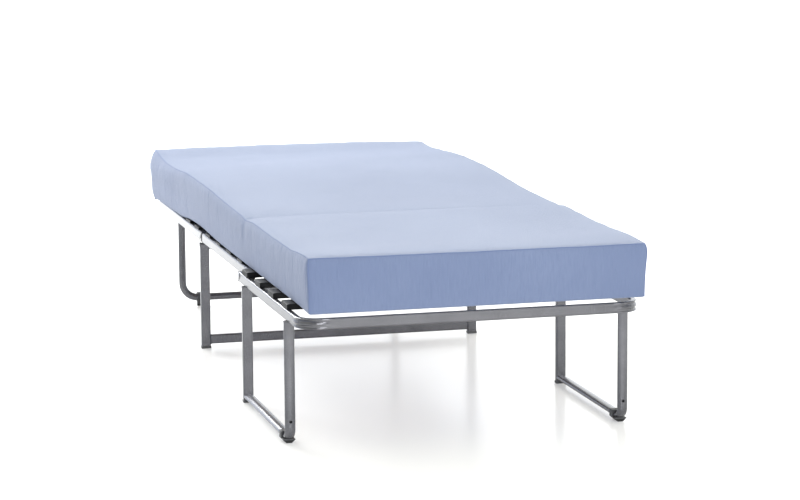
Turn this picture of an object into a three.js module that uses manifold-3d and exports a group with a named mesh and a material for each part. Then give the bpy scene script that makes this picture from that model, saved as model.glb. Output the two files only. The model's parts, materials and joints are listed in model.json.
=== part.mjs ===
// Folding cot: a three-section steel frame with sprung wooden slats and a covered foam mattress.
// Units are millimetres. X is the width, Y the length (foot end at -Y), Z is up from the floor.
// The foot-end section stands on two rigid side loops. The middle section hinges up from it, and
// the head-end section hinges up from the middle one. Two leg frames fold flat under the head end.

import * as THREE from 'three';
import { RoundedBoxGeometry } from 'three/addons/geometries/RoundedBoxGeometry.js';
import * as BufferGeometryUtils from 'three/addons/utils/BufferGeometryUtils.js';
import Module from 'manifold-3d';

const wasm = await Module();
wasm.setup();

// ---------------------------------------------------------------- driving dimensions

const CLEAR = 0.3; // gap left between pieces that touch

// frame tube
const TUBE_DEPTH = 25; // larger side of the tube
const TUBE_WIDTH = 15; // smaller side of the tube
const TUBE_WALL = 1.5;
const RAIL_CORNER = 3; // corner radius of the rectangular tube
const OVAL_SIDES = 20; // facets round the oval tube of the loops and the far leg frame

// heights
const NEAR_RAIL_BOTTOM = 289; // clear height under the foot-end rails
const MIDDLE_RISE = 7; // the nested middle rails stand this much higher
const DECK_ABOVE_NEAR_RAIL = 14; // slat holders above the foot-end rails

// foot-end section
const NEAR_FRAME_WIDTH = 818;
const NEAR_FRAME_FRONT = -989;
const NEAR_FRAME_END = -305;
const FRAME_BEND_RADIUS = 45; // centre line of the frame's corner bends
const NEAR_CROSS_SETBACK = 150; // cross tube from the rails' open ends
const CRUSH_DEPTH = 4.2; // how far the outer wall is pressed in at the foot-end bends
const CRUSH_REACH = 62; // length of the pressed zone each side of the bend's middle

// side loops under the foot-end section
const LOOP_FRONT_SETBACK = 127; // front uprights from the frame's front
const LOOP_REAR_SETBACK = 79; // rear uprights from the rails' open ends
const LOOP_OFFSET = 2; // loops stand this much outside the rail's centre line
const LOOP_BEND_RADIUS = 22;
const BAR_LIFT = 8; // the loops' floor bars clear the floor by this much
const DRAIN_HOLE_DIAMETER = 7;
const DRAIN_HOLE_HEIGHT = 54;

// hinge between foot-end and middle sections
const HINGE_SPACE = 7; // between the foot-end rail and the middle rail
const PIVOT_INSET = 15; // pivot to the end of the rail
const PIVOT_RADIUS = 4;
const FIRST_PIVOT_DROP = 9; // pivot below the top of the foot-end rail
const BOLT_HEAD_RADIUS = 8;
const BOLT_HEAD_HEIGHT = 2.2;
const COLLAR_RADIUS = 9;
const NUT_RADIUS = 7;
const NUT_HEIGHT = 6.5;
const PIN_HEAD_RADIUS = 6.5;
const PIN_HEAD_HEIGHT = 1.6;
const PIN_TAIL = 2; // pin beyond the plate that it holds

// middle section
const MIDDLE_RAIL_LENGTH = 618;
const MIDDLE_CROSSES = [1, 3]; // cross tubes stand midway behind these slats

// hinge between middle and head-end sections
const SECOND_JOINT_GAP = 14;
const HINGE_PLATE_THICKNESS = 4;
const HINGE_PLATE_DEPTH = 21;
const HINGE_PLATE_LAP = 35; // length riveted to the middle rail

// head-end section
const FAR_FRAME_END = 990;
const FAR_CROSS = 1; // cross tube midway behind this slat

// end plugs
const PLUG_FLANGE = 2;
const PLUG_INSERT = 8;

// middle leg frame
const MIDDLE_LEG_SETBACK = 13; // behind the second hinge's pivot
const MIDDLE_LEG_INSET = 1; // uprights in from the rails' outer faces
const MIDDLE_LEG_PIVOT_DROP = 12; // pivot below the head-end rail
const MIDDLE_BAR_LIFT = 12;
const BRACKET_SHEET = 2;
const BRACKET_FLANGE = 3;
const BRACKET_LENGTH = 26;
const BRACKET_DROP = 24;

// far leg frame
const FAR_LEG_INSET = 57; // leg in from the rails' outer faces
const FAR_LEG_TUBE = 21; // tube width seen across the bed
const FAR_BAR_LIFT = 15; // the floor bar clears the floor by this much
const FAR_LEG_SETBACK = 11; // leg's pivot in from the end rail's inner face
const FAR_LEG_BEND_RADIUS = 44;
const FAR_BRACKET_EAR = 3;
const FAR_BRACKET_DEPTH = 21;
const FAR_CLIP_INSET = 58; // clip's middle from the leg's centre line
const FAR_CLIP_LENGTH = 32;

// feet
const FOOT_CAP_HEIGHT = 7;
const FOOT_CAP_PROUD = 0.8;
const FOOT_CAP_INSERT = 14;
const CLIP_WALL = 2.5;
const CLIP_EDGE = 1.2; // chamfer at a foot clip's ends and corners
const CLIP_PAD_SHARE = 0.5; // a foot clip's width on the floor to its width at the tube
const CLIP_LIP = 3; // how far the far clips' lips curl over the bar
const LOOP_CLIP_START = 12; // loop clip behind the front upright's centre line
const LOOP_CLIP_LENGTH = 38;
const LOOP_CLIP_WRAP = 2; // height that it grips up the bend
const LOOP_COLLAR_LENGTH = 20; // its rear end closes round the bar

// slats and their holders
const SLAT_WIDTH = 53;
const SLAT_THICKNESS = 8;
const SLAT_CAMBER = 3;
const SLAT_STRAIGHT_END = 45;
const SLAT_TOP_BELOW_DECK = 3.2;
const HOLDER_LENGTH = 60;
const HOLDER_REACH = 45; // across the bed
const HOLDER_INSET = 2; // from the rail's outer face
const HOLDER_END_WALL = 3; // between the slat's end and the rail's inner face
const HOLDER_FLOOR = 2.4; // under the slat
// number of slats, and the first and last one's distance from the ends of their section
const NEAR_SLATS = { count: 4, before: 159, after: 75 };
const MIDDLE_SLATS = { count: 4, before: 130, after: 68 };
const FAR_SLATS = { count: 5, before: 78, after: 119 };

// mattress
const MATTRESS_WIDTH = 800;
const MATTRESS_LENGTH = 2000;
const MATTRESS_THICKNESS = 122;
const MATTRESS_SHIFT = 12; // lies this much to the right on the frame
const MATTRESS_EDGE = 16; // edge rounding
const FOLD_MARGIN = 10; // spare height when a section is folded up

// ---------------------------------------------------------------- derived places

const NEAR_RAIL_TOP = NEAR_RAIL_BOTTOM + TUBE_DEPTH;
const MIDDLE_RAIL_BOTTOM = NEAR_RAIL_BOTTOM + MIDDLE_RISE;
const MIDDLE_RAIL_TOP = MIDDLE_RAIL_BOTTOM + TUBE_DEPTH;
const DECK_TOP = NEAR_RAIL_TOP + DECK_ABOVE_NEAR_RAIL;

const NEAR_RAIL_X = (NEAR_FRAME_WIDTH - TUBE_WIDTH) / 2;
const NEAR_INNER_X = NEAR_RAIL_X - TUBE_WIDTH / 2;
const MIDDLE_OUTER_X = NEAR_INNER_X - HINGE_SPACE;
const MIDDLE_RAIL_X = MIDDLE_OUTER_X - TUBE_WIDTH / 2;
const MIDDLE_INNER_X = MIDDLE_OUTER_X - TUBE_WIDTH;
const LOOP_X = NEAR_RAIL_X + LOOP_OFFSET;
const LOOP_FRONT_Y = NEAR_FRAME_FRONT + LOOP_FRONT_SETBACK;
const LOOP_REAR_Y = NEAR_FRAME_END - LOOP_REAR_SETBACK;

const FIRST_PIVOT = { y: NEAR_FRAME_END - PIVOT_INSET, z: NEAR_RAIL_TOP - FIRST_PIVOT_DROP };
const MIDDLE_RAIL_START = FIRST_PIVOT.y - PIVOT_INSET;
const MIDDLE_RAIL_END = MIDDLE_RAIL_START + MIDDLE_RAIL_LENGTH;
const FAR_RAIL_START = MIDDLE_RAIL_END + SECOND_JOINT_GAP;
const NEAR_SLAT_YS = slatPlaces(NEAR_FRAME_FRONT, NEAR_FRAME_END, NEAR_SLATS);
const MIDDLE_SLAT_YS = slatPlaces(MIDDLE_RAIL_START, MIDDLE_RAIL_END, MIDDLE_SLATS);
const FAR_SLAT_YS = slatPlaces(FAR_RAIL_START, FAR_FRAME_END, FAR_SLATS);
const SECOND_PIVOT = { y: FAR_RAIL_START + PIVOT_INSET, z: MIDDLE_RAIL_TOP - TUBE_DEPTH / 2 };

const MIDDLE_LEG_OUTER_X = MIDDLE_OUTER_X - MIDDLE_LEG_INSET;
const MIDDLE_LEG_INNER_X = MIDDLE_LEG_OUTER_X - TUBE_DEPTH;
const MIDDLE_LEG_X = MIDDLE_LEG_OUTER_X - TUBE_DEPTH / 2;
const MIDDLE_LEG_PIVOT = {
  y: SECOND_PIVOT.y + MIDDLE_LEG_SETBACK,
  z: MIDDLE_RAIL_BOTTOM - MIDDLE_LEG_PIVOT_DROP,
};
const FAR_LEG_OUTER_X = MIDDLE_OUTER_X - FAR_LEG_INSET;
const FAR_LEG_X = FAR_LEG_OUTER_X - FAR_LEG_TUBE / 2;
const FAR_LEG_Y = FAR_FRAME_END - TUBE_WIDTH - FAR_LEG_SETBACK;
const FAR_LEG_PIVOT = { y: FAR_LEG_Y, z: MIDDLE_RAIL_TOP - TUBE_DEPTH / 2 };

function slatPlaces(start, end, { count, before, after }) {
  const first = start + before;
  const pitch = (end - after - first) / (count - 1);
  return Array.from({ length: count }, (_, i) => first + i * pitch);
}

function midwayBehind(slatYs, slatNumber) {
  return (slatYs[slatNumber - 1] + slatYs[slatNumber]) / 2;
}

// ---------------------------------------------------------------- materials

const paintedSteel = new THREE.MeshStandardMaterial({
  color: 0xa3a4a8, roughness: 0.42, metalness: 0.35,
});
const zincSteel = new THREE.MeshStandardMaterial({
  color: 0xb9babd, roughness: 0.35, metalness: 0.8,
});
const blackPlastic = new THREE.MeshStandardMaterial({
  color: 0x1b1b1d, roughness: 0.6, metalness: 0,
});
const greyPlastic = new THREE.MeshStandardMaterial({
  color: 0x77787c, roughness: 0.55, metalness: 0,
});
const footRubber = new THREE.MeshStandardMaterial({
  color: 0x2a2a2d, roughness: 0.8, metalness: 0,
});
const beechPly = new THREE.MeshStandardMaterial({
  color: 0xd9b98a, roughness: 0.55, metalness: 0,
});
const blueCover = new THREE.MeshStandardMaterial({
  color: 0xa3b2d6, roughness: 0.9, metalness: 0,
});

// ---------------------------------------------------------------- scene helpers

const group = new THREE.Group();

function add(name, geometry, material, x = 0, y = 0, z = 0) {
  const mesh = new THREE.Mesh(geometry, material);
  mesh.name = name;
  mesh.position.set(x, y, z);
  group.add(mesh);
  return mesh;
}

function positionsOnly(geometry) {
  const bare = geometry.clone();
  bare.deleteAttribute('normal');
  bare.deleteAttribute('uv');
  return BufferGeometryUtils.mergeVertices(bare, 1e-4);
}

function solid(geometry) {
  const merged = positionsOnly(geometry);
  return new wasm.Manifold(new wasm.Mesh({
    numProp: 3,
    vertProperties: new Float32Array(merged.attributes.position.array),
    triVerts: new Uint32Array(merged.index.array),
  }));
}

function fromSolid(manifold) {
  const mesh = manifold.getMesh();
  const geometry = new THREE.BufferGeometry();
  geometry.setAttribute('position', new THREE.BufferAttribute(mesh.vertProperties, 3));
  geometry.setIndex(new THREE.BufferAttribute(mesh.triVerts, 1));
  geometry.computeVertexNormals();
  return geometry;
}

function cut(geometry, ...tools) {
  return fromSolid(tools.reduce((body, tool) => body.subtract(solid(tool)), solid(geometry)));
}

function join(...geometries) {
  return fromSolid(geometries.map(solid).reduce((body, other) => body.add(other)));
}

function moved(geometry, x, y, z) {
  return geometry.clone().translate(x, y, z);
}

function block(width, length, height) {
  return new THREE.BoxGeometry(width, length, height);
}

// A cylinder whose axis is X.
function rodX(radius, length, sides = 16) {
  return new THREE.CylinderGeometry(radius, radius, length, sides).rotateZ(Math.PI / 2);
}

// ---------------------------------------------------------------- tube sections and sweeps

// Half width a, half height b, corner radius r; side +a is divided so that it can be pressed in.
function tubeOutline(a, b, r, cornerSteps, sideSteps = 1) {
  const points = [];
  const corners = [[a - r, b - r, 0], [r - a, b - r, 1], [r - a, r - b, 2], [a - r, r - b, 3]];
  for (const [cx, cy, quarter] of corners) {
    for (let i = 0; i <= cornerSteps; i++) {
      const angle = (quarter + i / cornerSteps) * Math.PI / 2;
      points.push(new THREE.Vector2(cx + r * Math.cos(angle), cy + r * Math.sin(angle)));
    }
  }
  for (let i = 1; i < sideSteps; i++) {
    points.push(new THREE.Vector2(a, (r - b) + 2 * (b - r) * i / sideSteps));
  }
  return points;
}

function tubeSection(thickness, width, radius, cornerSteps, sideSteps = 1) {
  const outline = (shrink) => tubeOutline(
    thickness / 2 - shrink, width / 2 - shrink, radius - shrink, cornerSteps, sideSteps,
  );
  return { outer: outline(0), inner: outline(TUBE_WALL) };
}

const rectangularTube = () => tubeSection(TUBE_WIDTH, TUBE_DEPTH, RAIL_CORNER, 2);

function ovalTube(thickness, width) {
  const outline = (shrink) => Array.from({ length: OVAL_SIDES }, (_, i) => {
    const angle = 2 * Math.PI * (i + 0.5) / OVAL_SIDES;
    const x = (thickness / 2 - shrink) * Math.cos(angle);
    return new THREE.Vector2(x, (width / 2 - shrink) * Math.sin(angle));
  });
  return { outer: outline(0), inner: outline(TUBE_WALL) };
}

// A route of straight runs with round bends, in a plane. Each station has its point, its
// direction, and how far along the route it lies; bendMiddles holds the bends' middles.
function bentRoute(corners, radius, steps, leads = []) {
  const stations = [];
  const bendMiddles = [];
  let length = 0;
  const push = (point, direction) => {
    const last = stations[stations.length - 1];
    if (last) length += point.distanceTo(last.point);
    stations.push({ point, direction, along: length });
  };
  const nodes = corners.map(([x, y]) => new THREE.Vector2(x, y));
  const heading = (i) => nodes[i + 1].clone().sub(nodes[i]).normalize();
  push(nodes[0], heading(0));
  for (let i = 1; i < nodes.length - 1; i++) {
    const before = heading(i - 1);
    const after = heading(i);
    const turn = Math.sign(before.cross(after));
    const sweep = Math.acos(before.dot(after));
    const tangent = radius * Math.tan(sweep / 2);
    const start = nodes[i].clone().addScaledVector(before, -tangent);
    const side = new THREE.Vector2(-before.y, before.x).multiplyScalar(turn);
    const centre = start.clone().addScaledVector(side, radius);
    for (const lead of [...leads].reverse()) {
      push(start.clone().addScaledVector(before, -lead), before);
    }
    const spoke = start.clone().sub(centre);
    const arcStart = length + start.distanceTo(stations[stations.length - 1].point);
    for (let k = 0; k <= steps; k++) {
      const angle = turn * sweep * k / steps;
      const point = centre.clone().add(spoke.clone().rotateAround(new THREE.Vector2(), angle));
      push(point, before.clone().rotateAround(new THREE.Vector2(), angle));
    }
    bendMiddles.push((arcStart + length) / 2);
    const end = nodes[i].clone().addScaledVector(after, tangent);
    for (const lead of leads) push(end.clone().addScaledVector(after, lead), after);
  }
  push(nodes[nodes.length - 1], heading(nodes.length - 2));
  return { stations, bendMiddles };
}

// Sweeps a section along a flat route. toSpace turns the route's two numbers into a point in
// space, across is the direction square to the route's plane, and shape may press the outline
// in at a station. A hollow section gives an open-ended tube, a full one a closed bar.
function sweep(route, section, toSpace, across, { hollow = true, shape = null } = {}) {
  const rings = hollow ? [section.outer, section.inner] : [section.outer];
  const count = section.outer.length;
  const positions = [];
  for (const station of route.stations) {
    const outward = new THREE.Vector2(station.direction.y, -station.direction.x);
    for (const ring of rings) {
      for (const corner of ring) {
        const point = shape ? shape(corner, station) : corner;
        const flat = station.point.clone().addScaledVector(outward, point.x);
        const place = toSpace(flat.x, flat.y).addScaledVector(across, point.y);
        positions.push(place.x, place.y, place.z);
      }
    }
  }
  const triangles = [];
  const at = (station, ring, i) => (station * rings.length + ring) * count + (i % count);
  const quad = (a, b, c, d) => triangles.push(a, b, c, a, c, d);
  const last = route.stations.length - 1;
  for (let s = 0; s < last; s++) {
    for (let i = 0; i < count; i++) {
      quad(at(s, 0, i), at(s, 0, i + 1), at(s + 1, 0, i + 1), at(s + 1, 0, i));
      if (hollow) quad(at(s, 1, i + 1), at(s, 1, i), at(s + 1, 1, i), at(s + 1, 1, i + 1));
    }
  }
  for (let i = 0; i < count; i++) {
    if (hollow) {
      quad(at(0, 1, i), at(0, 1, i + 1), at(0, 0, i + 1), at(0, 0, i));
      quad(at(last, 0, i), at(last, 0, i + 1), at(last, 1, i + 1), at(last, 1, i));
    } else if (i > 0 && i < count - 1) {
      triangles.push(at(0, 0, 0), at(0, 0, i + 1), at(0, 0, i));
      triangles.push(at(last, 0, 0), at(last, 0, i), at(last, 0, i + 1));
    }
  }
  const geometry = new THREE.BufferGeometry();
  geometry.setAttribute('position', new THREE.Float32BufferAttribute(positions, 3));
  geometry.setIndex(triangles);
  return faceOutward(geometry);
}

// Turns a closed geometry's faces over if they point inward.
function faceOutward(geometry) {
  const position = geometry.attributes.position;
  const index = geometry.index.array;
  const [a, b, c] = [new THREE.Vector3(), new THREE.Vector3(), new THREE.Vector3()];
  let volume = 0;
  for (let i = 0; i < index.length; i += 3) {
    a.fromBufferAttribute(position, index[i]);
    b.fromBufferAttribute(position, index[i + 1]);
    c.fromBufferAttribute(position, index[i + 2]);
    volume += a.dot(b.cross(c));
  }
  if (volume < 0) {
    for (let i = 0; i < index.length; i += 3) [index[i], index[i + 2]] = [index[i + 2], index[i]];
  }
  geometry.computeVertexNormals();
  return geometry;
}

const X_AXIS = new THREE.Vector3(1, 0, 0);
const Y_AXIS = new THREE.Vector3(0, 1, 0);
const Z_AXIS = new THREE.Vector3(0, 0, 1);

// A straight tube along Y or X whose tall side is Z, or upright with its wide side along X.
function railTube(length) {
  const route = bentRoute([[0, 0], [0, length]], 1, 1);
  return sweep(route, rectangularTube(), (x, y) => new THREE.Vector3(x, y, 0), Z_AXIS);
}

function crossTube(length) {
  const route = bentRoute([[-length / 2, 0], [length / 2, 0]], 1, 1);
  return sweep(route, rectangularTube(), (x, y) => new THREE.Vector3(x, y, 0), Z_AXIS);
}

function legTube(bottom, top) {
  const route = bentRoute([[0, bottom], [0, top]], 1, 1);
  return sweep(route, rectangularTube(), (y, z) => new THREE.Vector3(0, y, z), X_AXIS);
}

// Rounds the top of an upright about its pivot, so that it can swing.
function roundedAbout(geometry, pivot, width, reach) {
  const keepBelow = solid(moved(block(width + 4, reach, pivot.z), 0, pivot.y, pivot.z / 2));
  const keepRound = solid(moved(rodX(TUBE_WIDTH / 2, width + 4, 24), 0, pivot.y, pivot.z));
  return keepBelow.add(keepRound).intersect(solid(geometry));
}

const mirrored = (x) => [['left', -x], ['right', x]];

// ---------------------------------------------------------------- foot-end section

// The bends are cold-formed without a mandrel, which presses the outer wall into two grooves
// between three ridges that fade out along the straight tube.
function crushed(route) {
  return (corner, station) => {
    if (corner.x < TUBE_WIDTH / 2 - TUBE_WALL - 0.01) return corner;
    const nearest = Math.min(...route.bendMiddles.map((middle) => Math.abs(station.along - middle)));
    const fade = Math.max(0, 1 - nearest / CRUSH_REACH);
    const ridges = (1 - Math.cos(4 * Math.PI * (corner.y / TUBE_DEPTH + 0.5))) / 2;
    const depth = CRUSH_DEPTH * Math.sin(fade * Math.PI / 2) ** 2;
    return new THREE.Vector2(corner.x - depth * ridges, corner.y);
  };
}

function nearFrameTube() {
  const front = NEAR_FRAME_FRONT + TUBE_WIDTH / 2;
  const corners = [
    [-NEAR_RAIL_X, NEAR_FRAME_END], [-NEAR_RAIL_X, front],
    [NEAR_RAIL_X, front], [NEAR_RAIL_X, NEAR_FRAME_END],
  ];
  const leads = [6, 14, 24].map((lead) => Math.min(lead, CRUSH_REACH));
  const route = bentRoute(corners, FRAME_BEND_RADIUS, 8, leads);
  const z = NEAR_RAIL_BOTTOM + TUBE_DEPTH / 2;
  const section = tubeSection(TUBE_WIDTH, TUBE_DEPTH, RAIL_CORNER, 2, 8);
  // the route runs front to back on the right, so the outline's +a side is the outer wall
  const tube = sweep(
    route, section, (x, y) => new THREE.Vector3(x, y, z), Z_AXIS, { shape: crushed(route) },
  );
  const bore = moved(rodX(PIVOT_RADIUS + CLEAR, 2 * NEAR_FRAME_WIDTH), 0, FIRST_PIVOT.y, FIRST_PIVOT.z);
  return cut(tube, bore);
}

// Moulded plug in the open end of a rail, which faces +Y.
function endPlug() {
  const flange = block(TUBE_WIDTH, PLUG_FLANGE, TUBE_DEPTH);
  const insert = block(
    TUBE_WIDTH - 2 * TUBE_WALL - 2 * CLEAR - 1,
    PLUG_INSERT + 1,
    TUBE_DEPTH - 2 * TUBE_WALL - 2 * CLEAR - 1,
  );
  return join(
    moved(flange, 0, CLEAR + PLUG_FLANGE / 2, 0),
    moved(insert, 0, CLEAR + 0.5 - PLUG_INSERT / 2, 0),
  );
}

function buildNearFrame() {
  add('near_frame_tube', nearFrameTube(), paintedSteel);
  const z = NEAR_RAIL_BOTTOM + TUBE_DEPTH / 2;
  const length = 2 * (NEAR_INNER_X - CLEAR);
  add('near_cross_tube', crossTube(length), paintedSteel, 0, NEAR_FRAME_END - NEAR_CROSS_SETBACK, z);
  for (const [side, x] of mirrored(NEAR_RAIL_X)) {
    add(`near_${side}_rail_plug`, endPlug(), blackPlastic, x, NEAR_FRAME_END, z);
  }
}

// ---------------------------------------------------------------- side loops

const BAR_Z = BAR_LIFT + TUBE_WIDTH / 2;

function loopSweep(grow, hollow) {
  const end = LOOP_REAR_Y - TUBE_WIDTH / 2 - CLEAR;
  const corners = [[LOOP_FRONT_Y, NEAR_RAIL_BOTTOM - CLEAR], [LOOP_FRONT_Y, BAR_Z], [end, BAR_Z]];
  const route = bentRoute(corners, LOOP_BEND_RADIUS, 7);
  const section = ovalTube(TUBE_WIDTH + 2 * grow, TUBE_DEPTH + 2 * grow);
  return sweep(route, section, (y, z) => new THREE.Vector3(0, y, z), X_AXIS, { hollow });
}

function loopTube() {
  const depth = TUBE_WIDTH;
  const hole = new THREE.CylinderGeometry(DRAIN_HOLE_DIAMETER / 2, DRAIN_HOLE_DIAMETER / 2, depth, 16);
  return cut(loopSweep(0, true), moved(hole, 0, LOOP_FRONT_Y - depth / 2, DRAIN_HOLE_HEIGHT));
}

// A foot clip is moulded to snap over a floor bar: a narrow pad on the floor widens into the
// cheeks that hold the tube, which lies the given lift above the floor. Its length is along Y.
function clipBody(tubeWidth, lift, height, length) {
  const half = tubeWidth / 2 + CLIP_WALL;
  const pad = half * CLIP_PAD_SHARE;
  const rightSide = [
    [pad - CLIP_EDGE, 0], [pad, CLIP_EDGE], [half, lift],
    [half, height - CLIP_EDGE], [half - CLIP_EDGE, height],
  ];
  const leftSide = rightSide.map(([x, z]) => [-x, z]).reverse();
  const shape = new THREE.Shape([...rightSide, ...leftSide].map(([x, z]) => new THREE.Vector2(x, z)));
  const body = new THREE.ExtrudeGeometry(shape, { depth: length, bevelEnabled: false });
  return body.translate(0, 0, -length / 2).rotateX(Math.PI / 2);
}

function loopClip() {
  const start = LOOP_FRONT_Y + LOOP_CLIP_START;
  const end = start + LOOP_CLIP_LENGTH;
  const pad = clipBody(TUBE_DEPTH, BAR_LIFT, BAR_LIFT + LOOP_CLIP_WRAP, LOOP_CLIP_LENGTH);
  const collarHeight = BAR_LIFT + TUBE_WIDTH + CLIP_WALL;
  const collar = clipBody(TUBE_DEPTH, BAR_LIFT, collarHeight, LOOP_COLLAR_LENGTH);
  const clip = join(
    moved(pad, 0, (start + end) / 2, 0),
    moved(collar, 0, end - LOOP_COLLAR_LENGTH / 2, 0),
  );
  return cut(clip, loopSweep(CLEAR, false));
}

// Moulded cap in the bottom of an upright: a foot with a plug up inside the tube.
function footCap() {
  const width = TUBE_DEPTH + 2 * FOOT_CAP_PROUD;
  const thickness = TUBE_WIDTH + 2 * FOOT_CAP_PROUD;
  const foot = new RoundedBoxGeometry(width, thickness, FOOT_CAP_HEIGHT, 2, 1.5);
  const slack = 2 * TUBE_WALL + 2 * CLEAR + 1;
  const plug = block(TUBE_DEPTH - slack, TUBE_WIDTH - slack, FOOT_CAP_INSERT + 1);
  return join(
    moved(foot, 0, 0, FOOT_CAP_HEIGHT / 2),
    moved(plug, 0, 0, FOOT_CAP_HEIGHT + (FOOT_CAP_INSERT - 1) / 2),
  );
}

function buildLoops() {
  for (const [side, x] of mirrored(LOOP_X)) {
    add(`${side}_loop_tube`, loopTube(), paintedSteel, x);
    add(`${side}_loop_foot_clip`, loopClip(), footRubber, x);
    const leg = legTube(FOOT_CAP_HEIGHT + CLEAR, NEAR_RAIL_BOTTOM - CLEAR);
    add(`${side}_rear_leg`, leg, paintedSteel, x, LOOP_REAR_Y);
    add(`${side}_rear_leg_cap`, footCap(), greyPlastic, x, LOOP_REAR_Y);
  }
}

// ---------------------------------------------------------------- middle section

function boredRail(length, bores) {
  const tools = bores.map(([y, z]) => moved(rodX(PIVOT_RADIUS + CLEAR, TUBE_WIDTH + 10), 0, y, z));
  return cut(railTube(length), ...tools);
}

function buildMiddleFrame() {
  const z = MIDDLE_RAIL_BOTTOM + TUBE_DEPTH / 2;
  const rail = boredRail(MIDDLE_RAIL_LENGTH, [[PIVOT_INSET, FIRST_PIVOT.z - z]]);
  for (const [side, x] of mirrored(MIDDLE_RAIL_X)) {
    add(`middle_${side}_rail`, rail.clone(), paintedSteel, x, MIDDLE_RAIL_START, z);
  }
  MIDDLE_CROSSES.forEach((slatNumber, i) => {
    const tube = crossTube(2 * (MIDDLE_INNER_X - CLEAR));
    add(`middle_cross_tube_${i + 1}`, tube, paintedSteel, 0, midwayBehind(MIDDLE_SLAT_YS, slatNumber), z);
  });
}

// ---------------------------------------------------------------- first hinge

// A domed head on a shank, along +X from the shank's inner end. The shank's profile may be
// given as steps of radius and place.
function rivet(shank, headRadius, headHeight, shankProfile = [[PIVOT_RADIUS, 0]]) {
  const profile = [[0, 0], ...shankProfile, [PIVOT_RADIUS, shank], [headRadius, shank]];
  const steps = 3;
  for (let i = 0; i < steps; i++) {
    const angle = (i / steps) * Math.PI / 2;
    const rise = headHeight * (0.35 + 0.65 * Math.sin(angle));
    profile.push([headRadius * Math.cos(angle), shank + rise]);
  }
  profile.push([0, shank + headHeight]);
  const points = profile.map(([r, h]) => new THREE.Vector2(r, h));
  return new THREE.LatheGeometry(points, 16).rotateZ(-Math.PI / 2);
}

function towardSide(geometry, x) {
  return x < 0 ? geometry.clone().rotateZ(Math.PI) : geometry;
}

// Shoulder bolt through both rails: its collar keeps them apart and its flange nut, locked on
// the thread, holds the middle rail from inside.
function shoulderBolt() {
  const nutStart = MIDDLE_INNER_X - CLEAR - NUT_HEIGHT;
  const place = (x) => x - nutStart;
  const outer = NEAR_INNER_X + TUBE_WIDTH + CLEAR;
  return rivet(place(outer), BOLT_HEAD_RADIUS, BOLT_HEAD_HEIGHT, [
    [NUT_RADIUS, 0],
    [NUT_RADIUS, NUT_HEIGHT],
    [PIVOT_RADIUS, NUT_HEIGHT],
    [PIVOT_RADIUS, place(MIDDLE_OUTER_X + CLEAR)],
    [COLLAR_RADIUS, place(MIDDLE_OUTER_X + CLEAR)],
    [COLLAR_RADIUS, place(NEAR_INNER_X - CLEAR)],
    [PIVOT_RADIUS, place(NEAR_INNER_X - CLEAR)],
  ]);
}

function buildFirstHinge() {
  const start = MIDDLE_INNER_X - CLEAR - NUT_HEIGHT;
  for (const [side, x] of mirrored(start)) {
    const bolt = towardSide(shoulderBolt(), x);
    add(`${side}_first_hinge_bolt`, bolt, zincSteel, x, FIRST_PIVOT.y, FIRST_PIVOT.z);
  }
}

// ---------------------------------------------------------------- second hinge

// Strap with a round end about the pivot, in the plane of the rail.
function strap(length, depth, thickness) {
  const radius = depth / 2;
  const shape = new THREE.Shape();
  shape.moveTo(-length, -radius);
  shape.lineTo(0, -radius);
  shape.absarc(0, 0, radius, -Math.PI / 2, Math.PI / 2, false);
  shape.lineTo(-length, radius);
  const bore = new THREE.Path();
  bore.absarc(0, 0, PIVOT_RADIUS + CLEAR, 0, 2 * Math.PI, true);
  shape.holes.push(bore);
  const plate = new THREE.ExtrudeGeometry(shape, {
    depth: thickness, bevelEnabled: false, curveSegments: 12,
  });
  // shape x becomes Y, shape y becomes Z, thickness becomes X
  plate.translate(0, 0, -thickness / 2);
  return plate.applyMatrix4(new THREE.Matrix4().set(0, 0, 1, 0, 1, 0, 0, 0, 0, 1, 0, 0, 0, 0, 0, 1));
}

function buildSecondHinge() {
  const { y, z } = SECOND_PIVOT;
  const plateX = MIDDLE_INNER_X - CLEAR - HINGE_PLATE_THICKNESS / 2;
  const length = SECOND_PIVOT.y - MIDDLE_RAIL_END + HINGE_PLATE_LAP;
  const start = plateX - HINGE_PLATE_THICKNESS / 2 - PIN_TAIL;
  for (const [side, x] of mirrored(plateX)) {
    const plate = strap(length, HINGE_PLATE_DEPTH, HINGE_PLATE_THICKNESS);
    add(`${side}_hinge_plate`, plate, zincSteel, x, y, z);
    const pin = rivet(MIDDLE_OUTER_X + CLEAR - start, PIN_HEAD_RADIUS, PIN_HEAD_HEIGHT);
    add(`${side}_second_hinge_pin`, towardSide(pin, x), zincSteel, Math.sign(x) * start, y, z);
  }
}

// ---------------------------------------------------------------- head-end section

function farFrameTube() {
  const end = FAR_FRAME_END - TUBE_WIDTH / 2;
  const corners = [
    [MIDDLE_RAIL_X, FAR_RAIL_START], [MIDDLE_RAIL_X, end],
    [-MIDDLE_RAIL_X, end], [-MIDDLE_RAIL_X, FAR_RAIL_START],
  ];
  const z = MIDDLE_RAIL_BOTTOM + TUBE_DEPTH / 2;
  const route = bentRoute(corners, FRAME_BEND_RADIUS, 7);
  const tube = sweep(route, rectangularTube(), (x, y) => new THREE.Vector3(x, y, z), Z_AXIS);
  const bore = rodX(PIVOT_RADIUS + CLEAR, 4 * MIDDLE_OUTER_X);
  return cut(tube, moved(bore, 0, SECOND_PIVOT.y, SECOND_PIVOT.z));
}

function buildFarFrame() {
  const z = MIDDLE_RAIL_BOTTOM + TUBE_DEPTH / 2;
  add('far_frame_tube', farFrameTube(), paintedSteel);
  const cross = crossTube(2 * (MIDDLE_INNER_X - CLEAR));
  add('far_cross_tube', cross, paintedSteel, 0, midwayBehind(FAR_SLAT_YS, FAR_CROSS), z);
}

// ---------------------------------------------------------------- middle leg frame

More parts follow.
